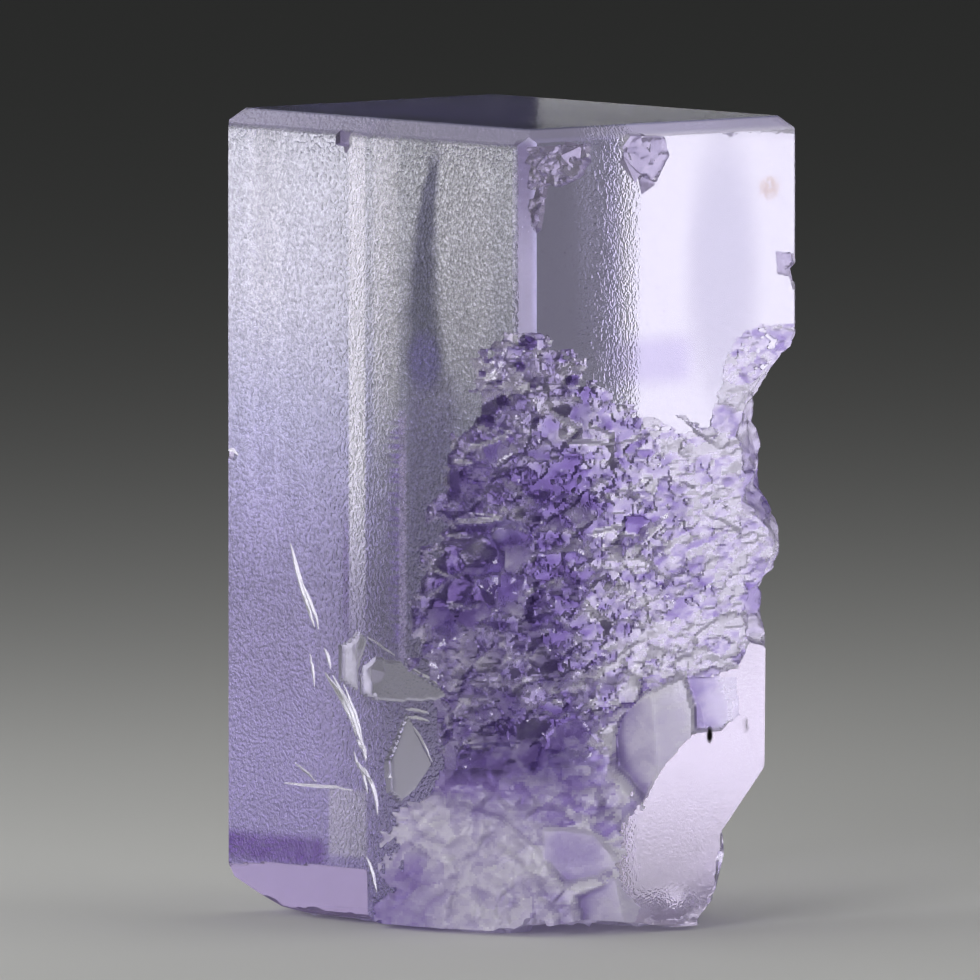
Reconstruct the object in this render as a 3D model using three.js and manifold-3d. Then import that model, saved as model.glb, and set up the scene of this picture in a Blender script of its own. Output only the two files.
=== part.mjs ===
// A fluorite crystal: one tall, clear to lavender block with bevelled edges. Its front corner is broken
// back in cubic steps, its rear right edge is chipped away, an octahedral cleavage takes off a lower
// corner, and its base is rough with flat patches to stand on. Millimetres, +Z up, centred on the origin.
import * as THREE from "three";
import { mergeVertices } from "three/addons/utils/BufferGeometryUtils.js";
import Module from "manifold-3d";

// The block: width along X, depth along Y.
const WIDTH = 22.9;
const DEPTH = 18;
const HEIGHT = 40;
const EDGE_BEVEL = 0.85; // leg of the bevel on the sharp front edge
const SIDE_BEVEL = 0.4; // leg of the bevels on the other upright edges
const LONG_TOP_BEVEL = 0.95; // bevels along the top, over the -Y and +Y faces
const SHORT_TOP_BEVEL = 0.65; // over the -X and +X faces
const HALF_W = WIDTH / 2;
const HALF_D = DEPTH / 2;
const REACH = 3; // how far a cutter stands out past the block

// The broken front corner, from its top down: height, how far the break runs back along the -Y face and
// along the +X face, and how full the corner is left (0 is a flat cut between those two, 1 the whole edge).
const BREAK = [
  { z: 30.0, left: 0.9, right: 0.9, full: 0.9 },
  { z: 29.2, left: 2.2, right: 3.6, full: 0.78 },
  { z: 28.4, left: 3.4, right: 5.4, full: 0.74 },
  { z: 27.0, left: 3.8, right: 8.3, full: 0.7 },
  { z: 24.8, left: 4.2, right: 11.4, full: 0.66 },
  { z: 22.8, left: 5.6, right: 14.6, full: 0.62 },
  { z: 18.3, left: 7.0, right: 15.0, full: 0.6 },
  { z: 14.2, left: 7.8, right: 13.0, full: 0.58 },
  { z: 11.8, left: 7.6, right: 12.6, full: 0.52 },
  { z: 9.3, left: 6.6, right: 10.0, full: 0.42 },
  { z: 7.0, left: 6.8, right: 7.8, full: 0.5 },
  { z: 4.0, left: 9.6, right: 6.2, full: 0.68 },
  { z: 0.0, left: 9.4, right: 5.4, full: 0.62 },
];
const LAYER = { least: 0.9, most: 2.3 }; // heights of the stepped layers
const LAYER_OVERLAP = 0.01; // layers share this much height, so that they join
const LAST_LAYER = 0.3; // a layer that ends below this runs out through the base
const STEP = 2.3; // usual length of a step along the break
const STEP_JITTER = 0.6; // how far a step's corner may slip off the curve, in y
const STEP_JITTER_X = 0.42; // and in x
const STEP_SKEW = 0.12; // how far a step's long side may run off square
// Small facets scattered over the broken places: how many, and their sizes.
const BREAK_CHIPS = { seed: 5, count: 112, least: 0.9, most: 2.6 };
const BREAK_CHIP_OUT = { least: -0.07, most: 0.38 }; // towards the lost corner
const BREAK_CHIP_FOOT = 0.8; // none is lower than this
const REAR_CHIPS = { seed: 21, count: 18, least: 0.9, most: 2.4 };
const REAR_CHIP_RUN = { least: -3.5, most: 5.5 }; // where they lie along the line of sight
const FOOT_CHIPS = { seed: 8, count: 24, least: 1.2, most: 3.2 };
const FOOT_CHIP_Z = -0.45;
const CHIP_SKEW = 1.6; // above 1 makes small chips the more common
const CUBIC_SHARE = 0.6; // the rest are octahedral
const CUBIC_SWING = 24; // degrees that a cubic chip may be turned
const PADS = [[5.2, -5.4], [-8.2, 6.4], [-8.6, -2.4], [6.0, 2.6]]; // flat patches it stands on
const PAD_RADIUS = 1.7;

// The chipped rear right edge: outline in an upright plane turned by VIEW_TURN, as distance from the axis
// and height. LOWER_EDGE is the cleaved corner under it.
const VIEW_TURN = THREE.MathUtils.degToRad(49.5);
const REAR_RUN = 16; // how long the cutters behind these outlines are
const REAR_SECOND = { turn: -0.3, across: 0.3, up: 0.2 }; // a second cut, turned and a little off the first
const REAR_EDGE = [
  [14.6, 31.0],
  [14.05, 29.4],
  [13.8, 28.5],
  [13.1, 28.1],
  [12.5, 27.0],
  [12.0, 26.0],
  [11.9, 24.8],
  [12.2, 23.8],
  [12.25, 22.8],
  [12.05, 22.2],
  [12.15, 21.5],
  [12.6, 20.8],
  [13.1, 19.6],
  [13.15, 18.2],
  [12.8, 17.5],
  [12.3, 17.0],
  [12.2, 15.5],
  [12.55, 14.3],
  [12.45, 4.0],
  [14.6, 4.0],
];
const LOWER_EDGE = [
  [16, 8],
  [12.5, 7.85],
  [10.3, 4.7],
  [10.4, 3.7],
  [10.1, 2.3],
  [9.9, 1.4],
  [9.1, 0.25],
  [8.6, -0.4],
  [16, -0.4],
];

// Chips: centre, size, turn in degrees about X, Y and Z. "block" follows the cube, "pit" is an octahedron
// and "shell" a low scoop.
const CHIPS = [
  { form: "pit", at: [HALF_W + 0.2, -2.0, 38.3], size: [1.1, 2.2, 2.6], turn: [12, 0, 8] },
  { form: "pit", at: [HALF_W + 0.15, -1.1, 37.2], size: [0.9, 1.3, 1.7], turn: [-20, 0, 5] },
  { form: "block", at: [HALF_W - 0.1, -7.4, 39.0], size: [1.0, 1.1, 1.2], turn: [14, 8, 10] },
  { form: "pit", at: [HALF_W, -5.9, 38.6], size: [1.1, 1.6, 1.6], turn: [30, 0, 12] },
  { form: "block", at: [HALF_W + 0.1, -4.9, 38.2], size: [0.9, 1.0, 1.0], turn: [-18, 12, 6] },
  { form: "pit", at: [HALF_W, -6.8, 37.7], size: [0.9, 1.3, 1.5], turn: [10, 20, 0] },
  { form: "block", at: [HALF_W, -8.2, 37.2], size: [0.8, 0.7, 1.3], turn: [8, 0, 20] },
  { form: "pit", at: [HALF_W, -8.0, 35.8], size: [0.8, 0.9, 1.5], turn: [0, 10, 25] },
  { form: "block", at: [-2.3, -HALF_D, 38.9], size: [1.0, 0.9, 0.7], turn: [10, 6, 12] },
  { form: "pit", at: [HALF_W - 0.2, HALF_D - 0.1, 32.2], size: [1.3, 1.6, 1.5], turn: [0, 20, 30] },
  { form: "block", at: [-HALF_W, -HALF_D, 22.9], size: [1.6, 0.7, 0.35], turn: [0, 14, 0] },
  { form: "pit", at: [-HALF_W, -HALF_D, 38.0], size: [0.7, 0.7, 1.0], turn: [0, 0, 20] },
  { form: "shell", at: [HALF_W + 0.5, 5.6, 29.6], size: [1.6, 3.4, 2.2], turn: [20, 0, 0] },
  { form: "shell", at: [HALF_W + 0.5, 4.6, 27.0], size: [1.7, 2.6, 3.2], turn: [-25, 0, 0] },
  { form: "pit", at: [-HALF_W, 3.2, 39.5], size: [1.2, 1.8, 1.2], turn: [0, 15, 20] },
  { form: "block", at: [-HALF_W, HALF_D, 14.5], size: [1.3, 1.3, 2.6], turn: [10, 6, 42] },
  { form: "pit", at: [-HALF_W, HALF_D, 12.4], size: [1.5, 1.5, 2.4], turn: [0, 12, 15] },
  { form: "shell", at: [-4.0, HALF_D + 0.4, 1.0], size: [5.5, 1.8, 3.2], turn: [0, 8, 0] },
  { form: "shell", at: [4.2, HALF_D + 0.4, 0.6], size: [4.2, 2.0, 2.6], turn: [0, -12, 0] },
  { form: "pit", at: [2.5, HALF_D, 39.4], size: [2.0, 1.2, 1.3], turn: [0, 10, 0] },
  { form: "shell", at: [-HALF_W - 0.4, 1.0, 0.8], size: [1.9, 5.2, 2.6], turn: [9, 0, 0] },
];

// The bottom edge of the -Y face, from its left corner to where the block touches down.
const FRONT_FOOT = [
  [-HALF_W - 1, 2.6],
  [-HALF_W, 2.15],
  [-10.0, 1.5],
  [-8.6, 1.0],
  [-6.2, 0.75],
  [-2.6, 0.7],
  [-0.5, 0.85],
  [0.2, 0.45],
  [1.2, 0.3],
  [2.0, -0.2],
  [-HALF_W - 1, -0.2],
];

const FOOT_SLOPE = THREE.MathUtils.degToRad(17); // how fast that chip runs out under the block
const FOOT_RUN = 9;

// The bottom edge under the broken corner and the +X face, seen in the plane turned by VIEW_TURN.
const CORNER_FOOT = [
  [-0.9, -0.3],
  [-0.5, 0.5],
  [0.8, 0.8],
  [1.8, 0.8],
  [3.6, 1.15],
  [6.4, 0.95],
  [8.2, 0.7],
  [10.5, 0.9],
  [10.5, -0.3],
];
const CORNER_FOOT_SLOPE = THREE.MathUtils.degToRad(4);
const CORNER_FOOT_RUN = { start: -15.5, length: 12.2 };

const wasm = await Module();
wasm.setup();

// Repeatable random numbers from 0 to 1.
function randomFrom(seed) {
  let state = seed;
  return () => {
    state = (state * 1664525 + 1013904223) % 4294967296;
    return state / 4294967296;
  };
}

// A closed three.js geometry as a solid to join or cut.
function solidOf(geometry) {
  geometry.deleteAttribute("normal");
  geometry.deleteAttribute("uv");
  const merged = mergeVertices(geometry, 1e-4);
  return new wasm.Manifold(
    new wasm.Mesh({
      numProp: 3,
      vertProperties: merged.attributes.position.array,
      triVerts: new Uint32Array(merged.index.array),
    }),
  );
}

// A solid back as a three.js geometry with flat faces.
function geometryOf(solid) {
  const mesh = solid.getMesh();
  const indexed = new THREE.BufferGeometry();
  indexed.setAttribute("position", new THREE.BufferAttribute(mesh.vertProperties, 3));
  indexed.setIndex(new THREE.BufferAttribute(mesh.triVerts, 1));
  const flat = indexed.toNonIndexed();
  flat.computeVertexNormals();
  return flat;
}

// An upright prism of the outline, from the height bottom to the height top.
function upright(outline, bottom, top) {
  const shape = new THREE.Shape(outline.map(([x, y]) => new THREE.Vector2(x, y)));
  const geometry = new THREE.ExtrudeGeometry(shape, { depth: top - bottom, bevelEnabled: false });
  return solidOf(geometry.translate(0, 0, bottom));
}

// A prism whose outline stands upright, as distance and height. It runs along +Y, down a slope if one is
// given, before the turn about Z.
function level(outline, start, length, turn, slope = 0) {
  const shape = new THREE.Shape(outline.map(([across, up]) => new THREE.Vector2(across, up)));
  const geometry = new THREE.ExtrudeGeometry(shape, { depth: length, bevelEnabled: false });
  geometry.rotateX(Math.PI / 2).translate(0, length, 0).rotateX(-slope);
  geometry.translate(0, start, 0).rotateZ(turn);
  return solidOf(geometry);
}

// The bevelled block before anything broke off.
function wholeCrystal() {
  const plan = [
    [-HALF_W, -HALF_D + SIDE_BEVEL],
    [-HALF_W + SIDE_BEVEL, -HALF_D],
    [HALF_W - EDGE_BEVEL, -HALF_D],
    [HALF_W, -HALF_D + EDGE_BEVEL],
    [HALF_W, HALF_D - SIDE_BEVEL],
    [HALF_W - SIDE_BEVEL, HALF_D],
    [-HALF_W + SIDE_BEVEL, HALF_D],
    [-HALF_W, HALF_D - SIDE_BEVEL],
  ];
  const roof = (half, bevel) => [
    [-half, 0],
    [half, 0],
    [half, HEIGHT - bevel],
    [half - bevel, HEIGHT],
    [-half + bevel, HEIGHT],
    [-half, HEIGHT - bevel],
  ];
  return upright(plan, 0, HEIGHT)
    .intersect(level(roof(HALF_W, SHORT_TOP_BEVEL), -DEPTH, 2 * DEPTH, 0))
    .intersect(level(roof(HALF_D, LONG_TOP_BEVEL), -WIDTH, 2 * WIDTH, Math.PI / 2));
}

// The break's reach and fullness at a height, between the rows of BREAK.
function breakAt(z) {
  const below = Math.max(1, BREAK.findIndex((row) => row.z <= z));
  const [high, low] = [BREAK[below - 1], BREAK[below]];
  const share = THREE.MathUtils.clamp((high.z - z) / (high.z - low.z), 0, 1);
  const between = (name) => THREE.MathUtils.lerp(high[name], low[name], share);
  return { left: between("left"), right: between("right"), full: between("full") };
}

// The break in plan at a height: a curve from the -Y face, round inside the lost corner, to the +X face.
function breakCurve(z) {
  const { left, right, full } = breakAt(z);
  const start = new THREE.Vector2(HALF_W - left, -HALF_D);
  const end = new THREE.Vector2(HALF_W, -HALF_D + right);
  const corner = new THREE.Vector2(HALF_W, -HALF_D);
  const middle = start.clone().add(end).multiplyScalar(0.5).lerp(corner, full);
  return new THREE.QuadraticBezierCurve(start, middle.lerp(corner, full * 0.4), end);
}

// One layer of the break, as the plan of what is gone: cubic steps from the -Y face round to the +X face.
function brokenPlan(z, random) {
  const path = breakCurve(z);
  const { v0: start, v2: end } = path;
  const steps = Math.max(2, Math.round(path.getLength() / STEP));
  const outline = [[start.x, start.y - REACH], [start.x, start.y]];
  for (let i = 1; i <= steps; i += 1) {
    const [from, to] = [outline[outline.length - 1], path.getPoint(i / steps)];
    const slip = i < steps ? random() * 2 - 1 : 0;
    const next = [to.x - STEP_JITTER_X * slip, to.y + STEP_JITTER * slip];
    outline.push([next[0], from[1] + STEP_SKEW * random()], next);
  }
  outline.push([HALF_W + REACH, end.y], [HALF_W + REACH, -HALF_D - REACH]);
  return outline;
}

// A random chip at a place: mostly cubes near the block's own directions, with some octahedral pits.
function looseChip(at, { least, most }, random) {
  const size = [0, 1, 2].map(() => THREE.MathUtils.lerp(least, most, random() ** CHIP_SKEW));
  const cubic = random() < CUBIC_SHARE;
  const swing = cubic ? CUBIC_SWING : 90;
  const turn = [0, 1, 2].map(() => swing * (random() * 2 - 1));
  return chip({ form: cubic ? "block" : "pit", at, size, turn });
}

// Everything that broke off the front corner, layer by layer.
function frontBreak() {
  const random = randomFrom(11);
  let gone = null;
  let top = BREAK[0].z;
  while (top > 0) {
    const height = THREE.MathUtils.lerp(LAYER.least, LAYER.most, random());
    const bottom = top - height < LAST_LAYER ? -REACH : top - height;
    const plan = brokenPlan(Math.max(0, (top + bottom) / 2), random);
    const layer = upright(plan, bottom, top + LAYER_OVERLAP);
    gone = gone ? gone.add(layer) : layer;
    top = bottom;
  }
  return gone;
}

// Small facets over the broken corner.
function breakChips() {
  const random = randomFrom(BREAK_CHIPS.seed);
  return Array.from({ length: BREAK_CHIPS.count }, () => {
    const z = THREE.MathUtils.lerp(BREAK_CHIP_FOOT, BREAK[0].z, random());
    const spot = breakCurve(z).getPoint(random());
    const out = THREE.MathUtils.lerp(BREAK_CHIP_OUT.least, BREAK_CHIP_OUT.most, random());
    return looseChip([spot.x + out, spot.y - out, z], BREAK_CHIPS, random);
  });
}

// Small facets up the rear edge.
function rearChips() {
  const random = randomFrom(REAR_CHIPS.seed);
  return Array.from({ length: REAR_CHIPS.count }, () => {
    const spot = Math.floor(THREE.MathUtils.lerp(1, REAR_EDGE.length - 3, random()));
    const [across, z] = REAR_EDGE[spot];
    const along = THREE.MathUtils.lerp(REAR_CHIP_RUN.least, REAR_CHIP_RUN.most, random());
    const at = new THREE.Vector3(across, along, z + random() - 0.5);
    at.applyAxisAngle(new THREE.Vector3(0, 0, 1), VIEW_TURN);
    return looseChip(at.toArray(), REAR_CHIPS, random);
  });
}

// Low facets over the underside, clear of the patches it stands on.
function footChips() {
  const random = randomFrom(FOOT_CHIPS.seed);
  const made = [];
  while (made.length < FOOT_CHIPS.count) {
    const at = [WIDTH * (random() - 0.5), DEPTH * (random() - 0.5), FOOT_CHIP_Z];
    const chipped = looseChip(at, FOOT_CHIPS, random);
    const reach = PAD_RADIUS + FOOT_CHIPS.most / 2;
    if (PADS.every(([x, y]) => Math.hypot(at[0] - x, at[1] - y) > reach)) made.push(chipped);
  }
  return made;
}

// The chipped rear edge and the cleaved corner under it.
function rearBreak() {
  const wall = level(REAR_EDGE, -REAR_RUN / 2, REAR_RUN, VIEW_TURN);
  const shifted = REAR_EDGE.map(([across, up], i) => [
    across + REAR_SECOND.across * Math.sin(i * 2.3),
    up + REAR_SECOND.up * Math.cos(i),
  ]);
  const turned = level(shifted, -REAR_RUN / 2, REAR_RUN, VIEW_TURN + REAR_SECOND.turn);
  return wall.add(turned).add(level(LOWER_EDGE, -REAR_RUN, 2 * REAR_RUN, VIEW_TURN));
}

const CHIP_FORMS = {
  block: () => new THREE.BoxGeometry(1, 1, 1),
  pit: () => new THREE.OctahedronGeometry(0.62),
  shell: () => new THREE.IcosahedronGeometry(0.5, 1),
};

// One chip's cutter, of unit size before it is scaled.
function chip({ form, at, size, turn }) {
  const geometry = CHIP_FORMS[form]();
  geometry.scale(...size);
  const [x, y, z] = turn.map(THREE.MathUtils.degToRad);
  geometry.rotateX(x).rotateY(y).rotateZ(z);
  return solidOf(geometry.translate(...at));
}

// The chipped bottom edges at the front, running out under the block.
function footBreak() {
  const { start, length } = CORNER_FOOT_RUN;
  const corner = level(CORNER_FOOT, start, length, VIEW_TURN, CORNER_FOOT_SLOPE);
  return level(FRONT_FOOT, -HALF_D - 0.5, FOOT_RUN, 0, FOOT_SLOPE).add(corner);
}

// What is left of the block, without any splinter that the cuts set free.
function fluoriteCrystal() {
  const cuts = [frontBreak(), rearBreak(), footBreak(), ...CHIPS.map(chip)];
  cuts.push(...breakChips(), ...rearChips(), ...footChips());
  const rest = cuts.reduce((left, cut) => left.subtract(cut), wholeCrystal());
  return rest.decompose().sort((a, b) => b.volume() - a.volume())[0];
}

const fluorite = new THREE.MeshStandardMaterial({ color: 0xb9aed8, roughness: 0.12, metalness: 0 });
const crystal = new THREE.Mesh(geometryOf(fluoriteCrystal()), fluorite);
crystal.name = "fluorite_crystal";

const specimen = new THREE.Group();
specimen.add(crystal);
export default specimen;
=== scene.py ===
# %% [markdown]
# # A fluorite crystal, see-through and broken at one corner
#
# Fluorite grows as cubes. This crystal is one tall block with narrow bevels along its edges. Its front
# corner has broken back in hundreds of small steps, its rear right edge is chipped, and its base is
# rough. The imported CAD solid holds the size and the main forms. This script carves the same block again
# with a far finer break, and gives it the look of a clear, lavender mineral.

# %% Load the frame
import math

import bmesh
import bpy
import numpy as np
from mathutils import Euler, Matrix, Vector


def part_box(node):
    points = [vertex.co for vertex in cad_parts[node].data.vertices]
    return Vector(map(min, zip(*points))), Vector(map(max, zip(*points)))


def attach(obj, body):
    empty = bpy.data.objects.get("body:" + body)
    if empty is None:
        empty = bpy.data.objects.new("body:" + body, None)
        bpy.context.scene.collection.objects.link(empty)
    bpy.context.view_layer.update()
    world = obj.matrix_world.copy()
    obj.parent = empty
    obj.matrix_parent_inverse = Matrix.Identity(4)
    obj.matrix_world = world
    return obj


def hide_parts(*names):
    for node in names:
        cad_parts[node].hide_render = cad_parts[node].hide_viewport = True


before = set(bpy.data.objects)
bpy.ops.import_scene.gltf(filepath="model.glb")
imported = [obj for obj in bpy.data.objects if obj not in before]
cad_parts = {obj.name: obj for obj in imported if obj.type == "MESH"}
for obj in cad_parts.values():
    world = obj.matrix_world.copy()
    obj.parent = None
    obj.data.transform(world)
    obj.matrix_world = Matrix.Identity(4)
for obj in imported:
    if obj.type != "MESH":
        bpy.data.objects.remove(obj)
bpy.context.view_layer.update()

MM = 0.001  # the script works in millimetres, and Blender in metres
low, high = (np.array(corner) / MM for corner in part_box("fluorite_crystal"))
HALF_W, HALF_D, HEIGHT = high[0], high[1], high[2]
print("block", np.round(high - low, 2), "mm")

# %% [markdown]
# ## Camera
#
# A crystal this small is shot from far off with a long lens, so its upright edges stay parallel. The
# camera looks almost level, at the sharp front edge between the two big faces.

# %% Camera
TURN = math.radians(49.5)  # how far round from the -Y face the camera stands
LIFT = math.radians(4.25)  # how far above level
DISTANCE = 2000.0
FRAME_WIDTH = 48.5  # width of the view at the crystal, in mm
SENSOR = 36.0
AIM_SIDE, AIM_UP = -1.06, 21.23  # the crystal stands a little right of the middle and low

across = Vector((math.cos(TURN), math.sin(TURN), 0))
back = Vector((math.sin(TURN) * math.cos(LIFT), -math.cos(TURN) * math.cos(LIFT), math.sin(LIFT)))
aim = across * AIM_SIDE + Vector((0, 0, AIM_UP))
lens = bpy.data.cameras.new("camera")
lens.sensor_width = SENSOR
lens.lens = SENSOR * DISTANCE / FRAME_WIDTH
lens.clip_start, lens.clip_end = 0.01, 50.0
camera = bpy.data.objects.new("camera", lens)
bpy.context.collection.objects.link(camera)
camera.location = (aim + back * DISTANCE) * MM
camera.rotation_euler = back.to_track_quat("Z", "Y").to_euler()
bpy.context.scene.camera = camera
print("lens", round(lens.lens), "mm")

# %% [markdown]
# ## Mesh helpers
#
# Everything is carved from the whole block, as it was in nature: shapes are made for what broke away,
# and a Boolean modifier takes them off. The Manifold solver is quick and exact on closed meshes.

# %% Objects with marked faces
WHOLE, BROKEN, BRUISED, CLEAR, CRACKED = range(5)  # the finishes of the crystal's faces


def mark_faces(mesh, finish, purple=0.0):
    """Keeps each face's finish and purple as numbers. A Boolean carries them over to the faces it cuts."""
    for name, value in (("finish", finish), ("purple", purple)):
        mark = mesh.attributes.new(name, "FLOAT", "FACE")
        mark.data.foreach_set("value", np.zeros(len(mesh.polygons), "f") + np.asarray(value, "f"))


def marked_object(mesh, finish, purple=0.0):
    """An object for a mesh, with its faces marked."""
    mark_faces(mesh, finish, purple)
    piece = bpy.data.objects.new(mesh.name, mesh)
    bpy.context.collection.objects.link(piece)
    return piece


def mesh_object(name, points, faces, finish=WHOLE, purple=0.0):
    """A mesh object from points in millimetres and faces as lists of point numbers."""
    mesh = bpy.data.meshes.new(name)
    mesh.from_pydata([tuple(point) for point in np.asarray(points) * MM], [], [tuple(f) for f in faces])
    mesh.update()
    return marked_object(mesh, finish, purple)


def formed_object(name, form, finish):
    """A mesh object from a bmesh, which is freed."""
    mesh = bpy.data.meshes.new(name)
    form.to_mesh(mesh)
    form.free()
    return marked_object(mesh, finish)


# %% Cuts
def apply_modifiers(piece):
    """Bakes a piece's modifiers into its mesh."""
    depsgraph = bpy.context.evaluated_depsgraph_get()
    baked = bpy.data.meshes.new_from_object(piece.evaluated_get(depsgraph))
    old = piece.data
    piece.modifiers.clear()
    piece.data = baked
    bpy.data.meshes.remove(old)


def cut(piece, cutter):
    """Takes the cutter off the piece, and deletes the cutter."""
    modifier = piece.modifiers.new("cut", "BOOLEAN")
    modifier.operation = "DIFFERENCE"
    modifier.solver = "MANIFOLD"
    modifier.object = cutter
    apply_modifiers(piece)
    bpy.data.objects.remove(cutter)


# %% [markdown]
# ## The whole block
#
# A box is sliced by one plane for each bevel. Slicing a closed mesh and filling the slice is the
# simplest way to a crystal's flat faces, because each face is exactly one plane.

# %% The bevelled block
EDGE_BEVEL, SIDE_BEVEL = 0.85, 0.4  # legs of the bevels on the front edge and the other upright ones
LONG_TOP, SHORT_TOP = 0.95, 0.65  # bevels along the top, over the long and the short faces


def bevelled_block():
    """The whole crystal: a box, and one slice for each bevel."""
    form = bmesh.new()
    bmesh.ops.create_cube(form, size=1.0)
    for corner in form.verts:
        x, y, z = corner.co
        corner.co = (x * 2 * HALF_W, y * 2 * HALF_D, (z + 0.5) * HEIGHT)
    slices = []
    for x in (-1, 1):
        for y in (-1, 1):
            leg = EDGE_BEVEL if (x, y) == (1, -1) else SIDE_BEVEL
            slices.append(((x, y, 0), (x * HALF_W, y * (HALF_D - leg), 0)))
    for side in (-1, 1):
        slices.append(((side, 0, 1), (side * (HALF_W - SHORT_TOP), 0, HEIGHT)))
        slices.append(((0, side, 1), (0, side * (HALF_D - LONG_TOP), HEIGHT)))
    for normal, point in slices:
        everything = form.verts[:] + form.edges[:] + form.faces[:]
        made = bmesh.ops.bisect_plane(
            form, geom=everything, plane_co=point, plane_no=normal, clear_outer=True
        )
        rim = [item for item in made["geom_cut"] if isinstance(item, bmesh.types.BMEdge)]
        bmesh.ops.contextual_create(form, geom=rim)
    bmesh.ops.scale(form, vec=(MM, MM, MM), verts=form.verts)
    bmesh.ops.recalc_face_normals(form, faces=form.faces)
    return formed_object("fluorite", form, WHOLE)


crystal = bevelled_block()
print("block faces", len(crystal.data.polygons))

# %% [markdown]
# ## Nicks and pits along the edges
#
# Fluorite splits along octahedral planes, so a knock on an edge leaves a little pit with slanting
# sides, a cubic notch, or a shallow shell. Each is a small cutter. They come off first, while the block
# is still a light mesh.

# %% Edge chips
# Form, centre, size, and turn in degrees about X, Y and Z.
CHIPS = [
    ("pit", (HALF_W + 0.2, -2.0, 38.3), (1.1, 2.2, 2.6), (12, 0, 8)),
    ("pit", (HALF_W + 0.15, -1.1, 37.2), (0.9, 1.3, 1.7), (-20, 0, 5)),
    ("pit", (HALF_W, -5.9, 38.6), (1.1, 1.6, 1.6), (30, 0, 12)),
    ("block", (-2.3, -HALF_D, 38.9), (1.0, 0.9, 0.7), (10, 6, 12)),
    ("pit", (-2.0, -HALF_D - 0.05, 38.6), (0.5, 0.6, 0.9), (0, 10, 30)),
    ("pit", (HALF_W - 0.2, HALF_D - 0.1, 32.2), (1.3, 1.6, 1.5), (0, 20, 30)),
    ("block", (-HALF_W, -HALF_D, 22.9), (1.6, 0.7, 0.35), (0, 14, 0)),
    ("pit", (-HALF_W, -HALF_D, 38.0), (0.7, 0.7, 1.0), (0, 0, 20)),
    ("pit", (-HALF_W, 3.2, 39.5), (1.2, 1.8, 1.2), (0, 15, 20)),
    ("block", (-HALF_W, HALF_D, 14.5), (1.3, 1.3, 2.6), (10, 6, 42)),
    ("pit", (-HALF_W, HALF_D, 12.4), (1.5, 1.5, 2.4), (0, 12, 15)),
    ("shell", (-4.0, HALF_D + 0.4, 0.3), (5.5, 1.6, 1.8), (0, 4, 0)),
    ("shell", (4.2, HALF_D + 0.4, 0.6), (4.2, 2.0, 2.6), (0, -12, 0)),
    ("pit", (2.5, HALF_D, 39.4), (2.0, 1.2, 1.3), (0, 10, 0)),
    ("shell", (-HALF_W - 0.4, 1.0, 0.8), (1.9, 5.2, 2.6), (9, 0, 0)),
]
PIT_RADIUS, SHELL_RADIUS = 0.62, 0.5


def chip_cutter(form, at, size, turn):
    """The cutter for one chip: a cube, an octahedron or a ball, stretched, turned and moved."""
    shape = bmesh.new()
    if form == "block":
        bmesh.ops.create_cube(shape, size=1.0)
    elif form == "shell":
        bmesh.ops.create_icosphere(shape, subdivisions=3, radius=SHELL_RADIUS)
    else:
        axes = [Vector(v) * PIT_RADIUS for v in ((1, 0, 0), (0, 1, 0), (-1, 0, 0), (0, -1, 0))]
        ring = [shape.verts.new(v) for v in axes]
        top, foot = (shape.verts.new((0, 0, height)) for height in (PIT_RADIUS, -PIT_RADIUS))
        for tip, order in ((top, 1), (foot, -1)):
            for a, b in zip(ring, ring[1:] + ring[:1]):
                shape.faces.new((a, b, tip)[::order])
    place = Matrix.Translation(Vector(at)) @ Euler([math.radians(t) for t in turn]).to_matrix().to_4x4()
    matrix = Matrix.Scale(MM, 4) @ place @ Matrix.Diagonal((*size, 1))
    bmesh.ops.transform(shape, matrix=matrix, verts=shape.verts)
    return formed_object("chip", shape, BRUISED)


for chip in CHIPS:
    cut(crystal, chip_cutter(*chip))
print("edge chips", len(CHIPS), "faces", len(crystal.data.polygons))

# %% [markdown]
# ## Broken rock as a height map
#
# A break seen square on is a height map: every point has one depth. Fluorite splits along cube and
# octahedron planes, so its breaks are fields of flat splinters that share a few slopes. A field of
# splinters is a jittered grid of seeds: each point of the map takes the plane of its nearest seed. Fields
# of large, middling and small splinters are added up, which noise alone never matches.

# %% Fields of flat splinters
random = np.random.default_rng(7)  # the one source of chance, so that each run gives the same crystal
# Slopes of the cleavage planes across and up, seen along the corner's diagonal.
CLEAVAGES = np.array([(0.0, 0.71), (0.0, -0.71), (1.0, 0.0), (-1.0, 0.0), (0.3, 0.1), (-0.2, 0.2)])
STRETCH = 1.3  # splinters are this much wider than they are tall
SWAY = 0.2  # how far their slopes stray from the cleavages
STEP = 0.25  # how far they step in and out, for each mm of their size
SLANT = 0.35  # how much their outlines lean


def splinters(us, vs, size):
    """A field of flat splinters of one size: their heights about zero, and a tone each."""
    wide = size * STRETCH
    u, v = np.meshgrid((us - us[0]) / wide + 1.0, (vs - vs[0]) / size + 1.0, indexing="ij")
    cells = (int(u.max()) + 2, int(v.max()) + 2)
    seed = random.uniform(0.05, 0.95, (*cells, 2))
    slope = CLEAVAGES[random.integers(0, len(CLEAVAGES), cells)] + random.uniform(-SWAY, SWAY, (*cells, 2))
    lift = STEP * size * random.uniform(-1, 1, cells)
    nearest, height, tone = np.full(u.shape, 9.0), np.zeros(u.shape), np.zeros(u.shape)
    for column in (-1, 0, 1):
        for row in (-1, 0, 1):
            i, j = u.astype(int) + column, v.astype(int) + row
            du, dv = u - i - seed[i, j, 0], v - j - seed[i, j, 1]
            distance = np.abs(du) + np.abs(dv) + SLANT * np.abs(du - dv)
            plane = slope[i, j, 0] * du * wide + slope[i, j, 1] * dv * size + lift[i, j]
            height = np.where(distance < nearest, plane, height)
            tone = np.where(distance < nearest, lift[i, j] / (STEP * size), tone)
            nearest = np.minimum(distance, nearest)
    return np.stack([height, tone])


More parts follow.
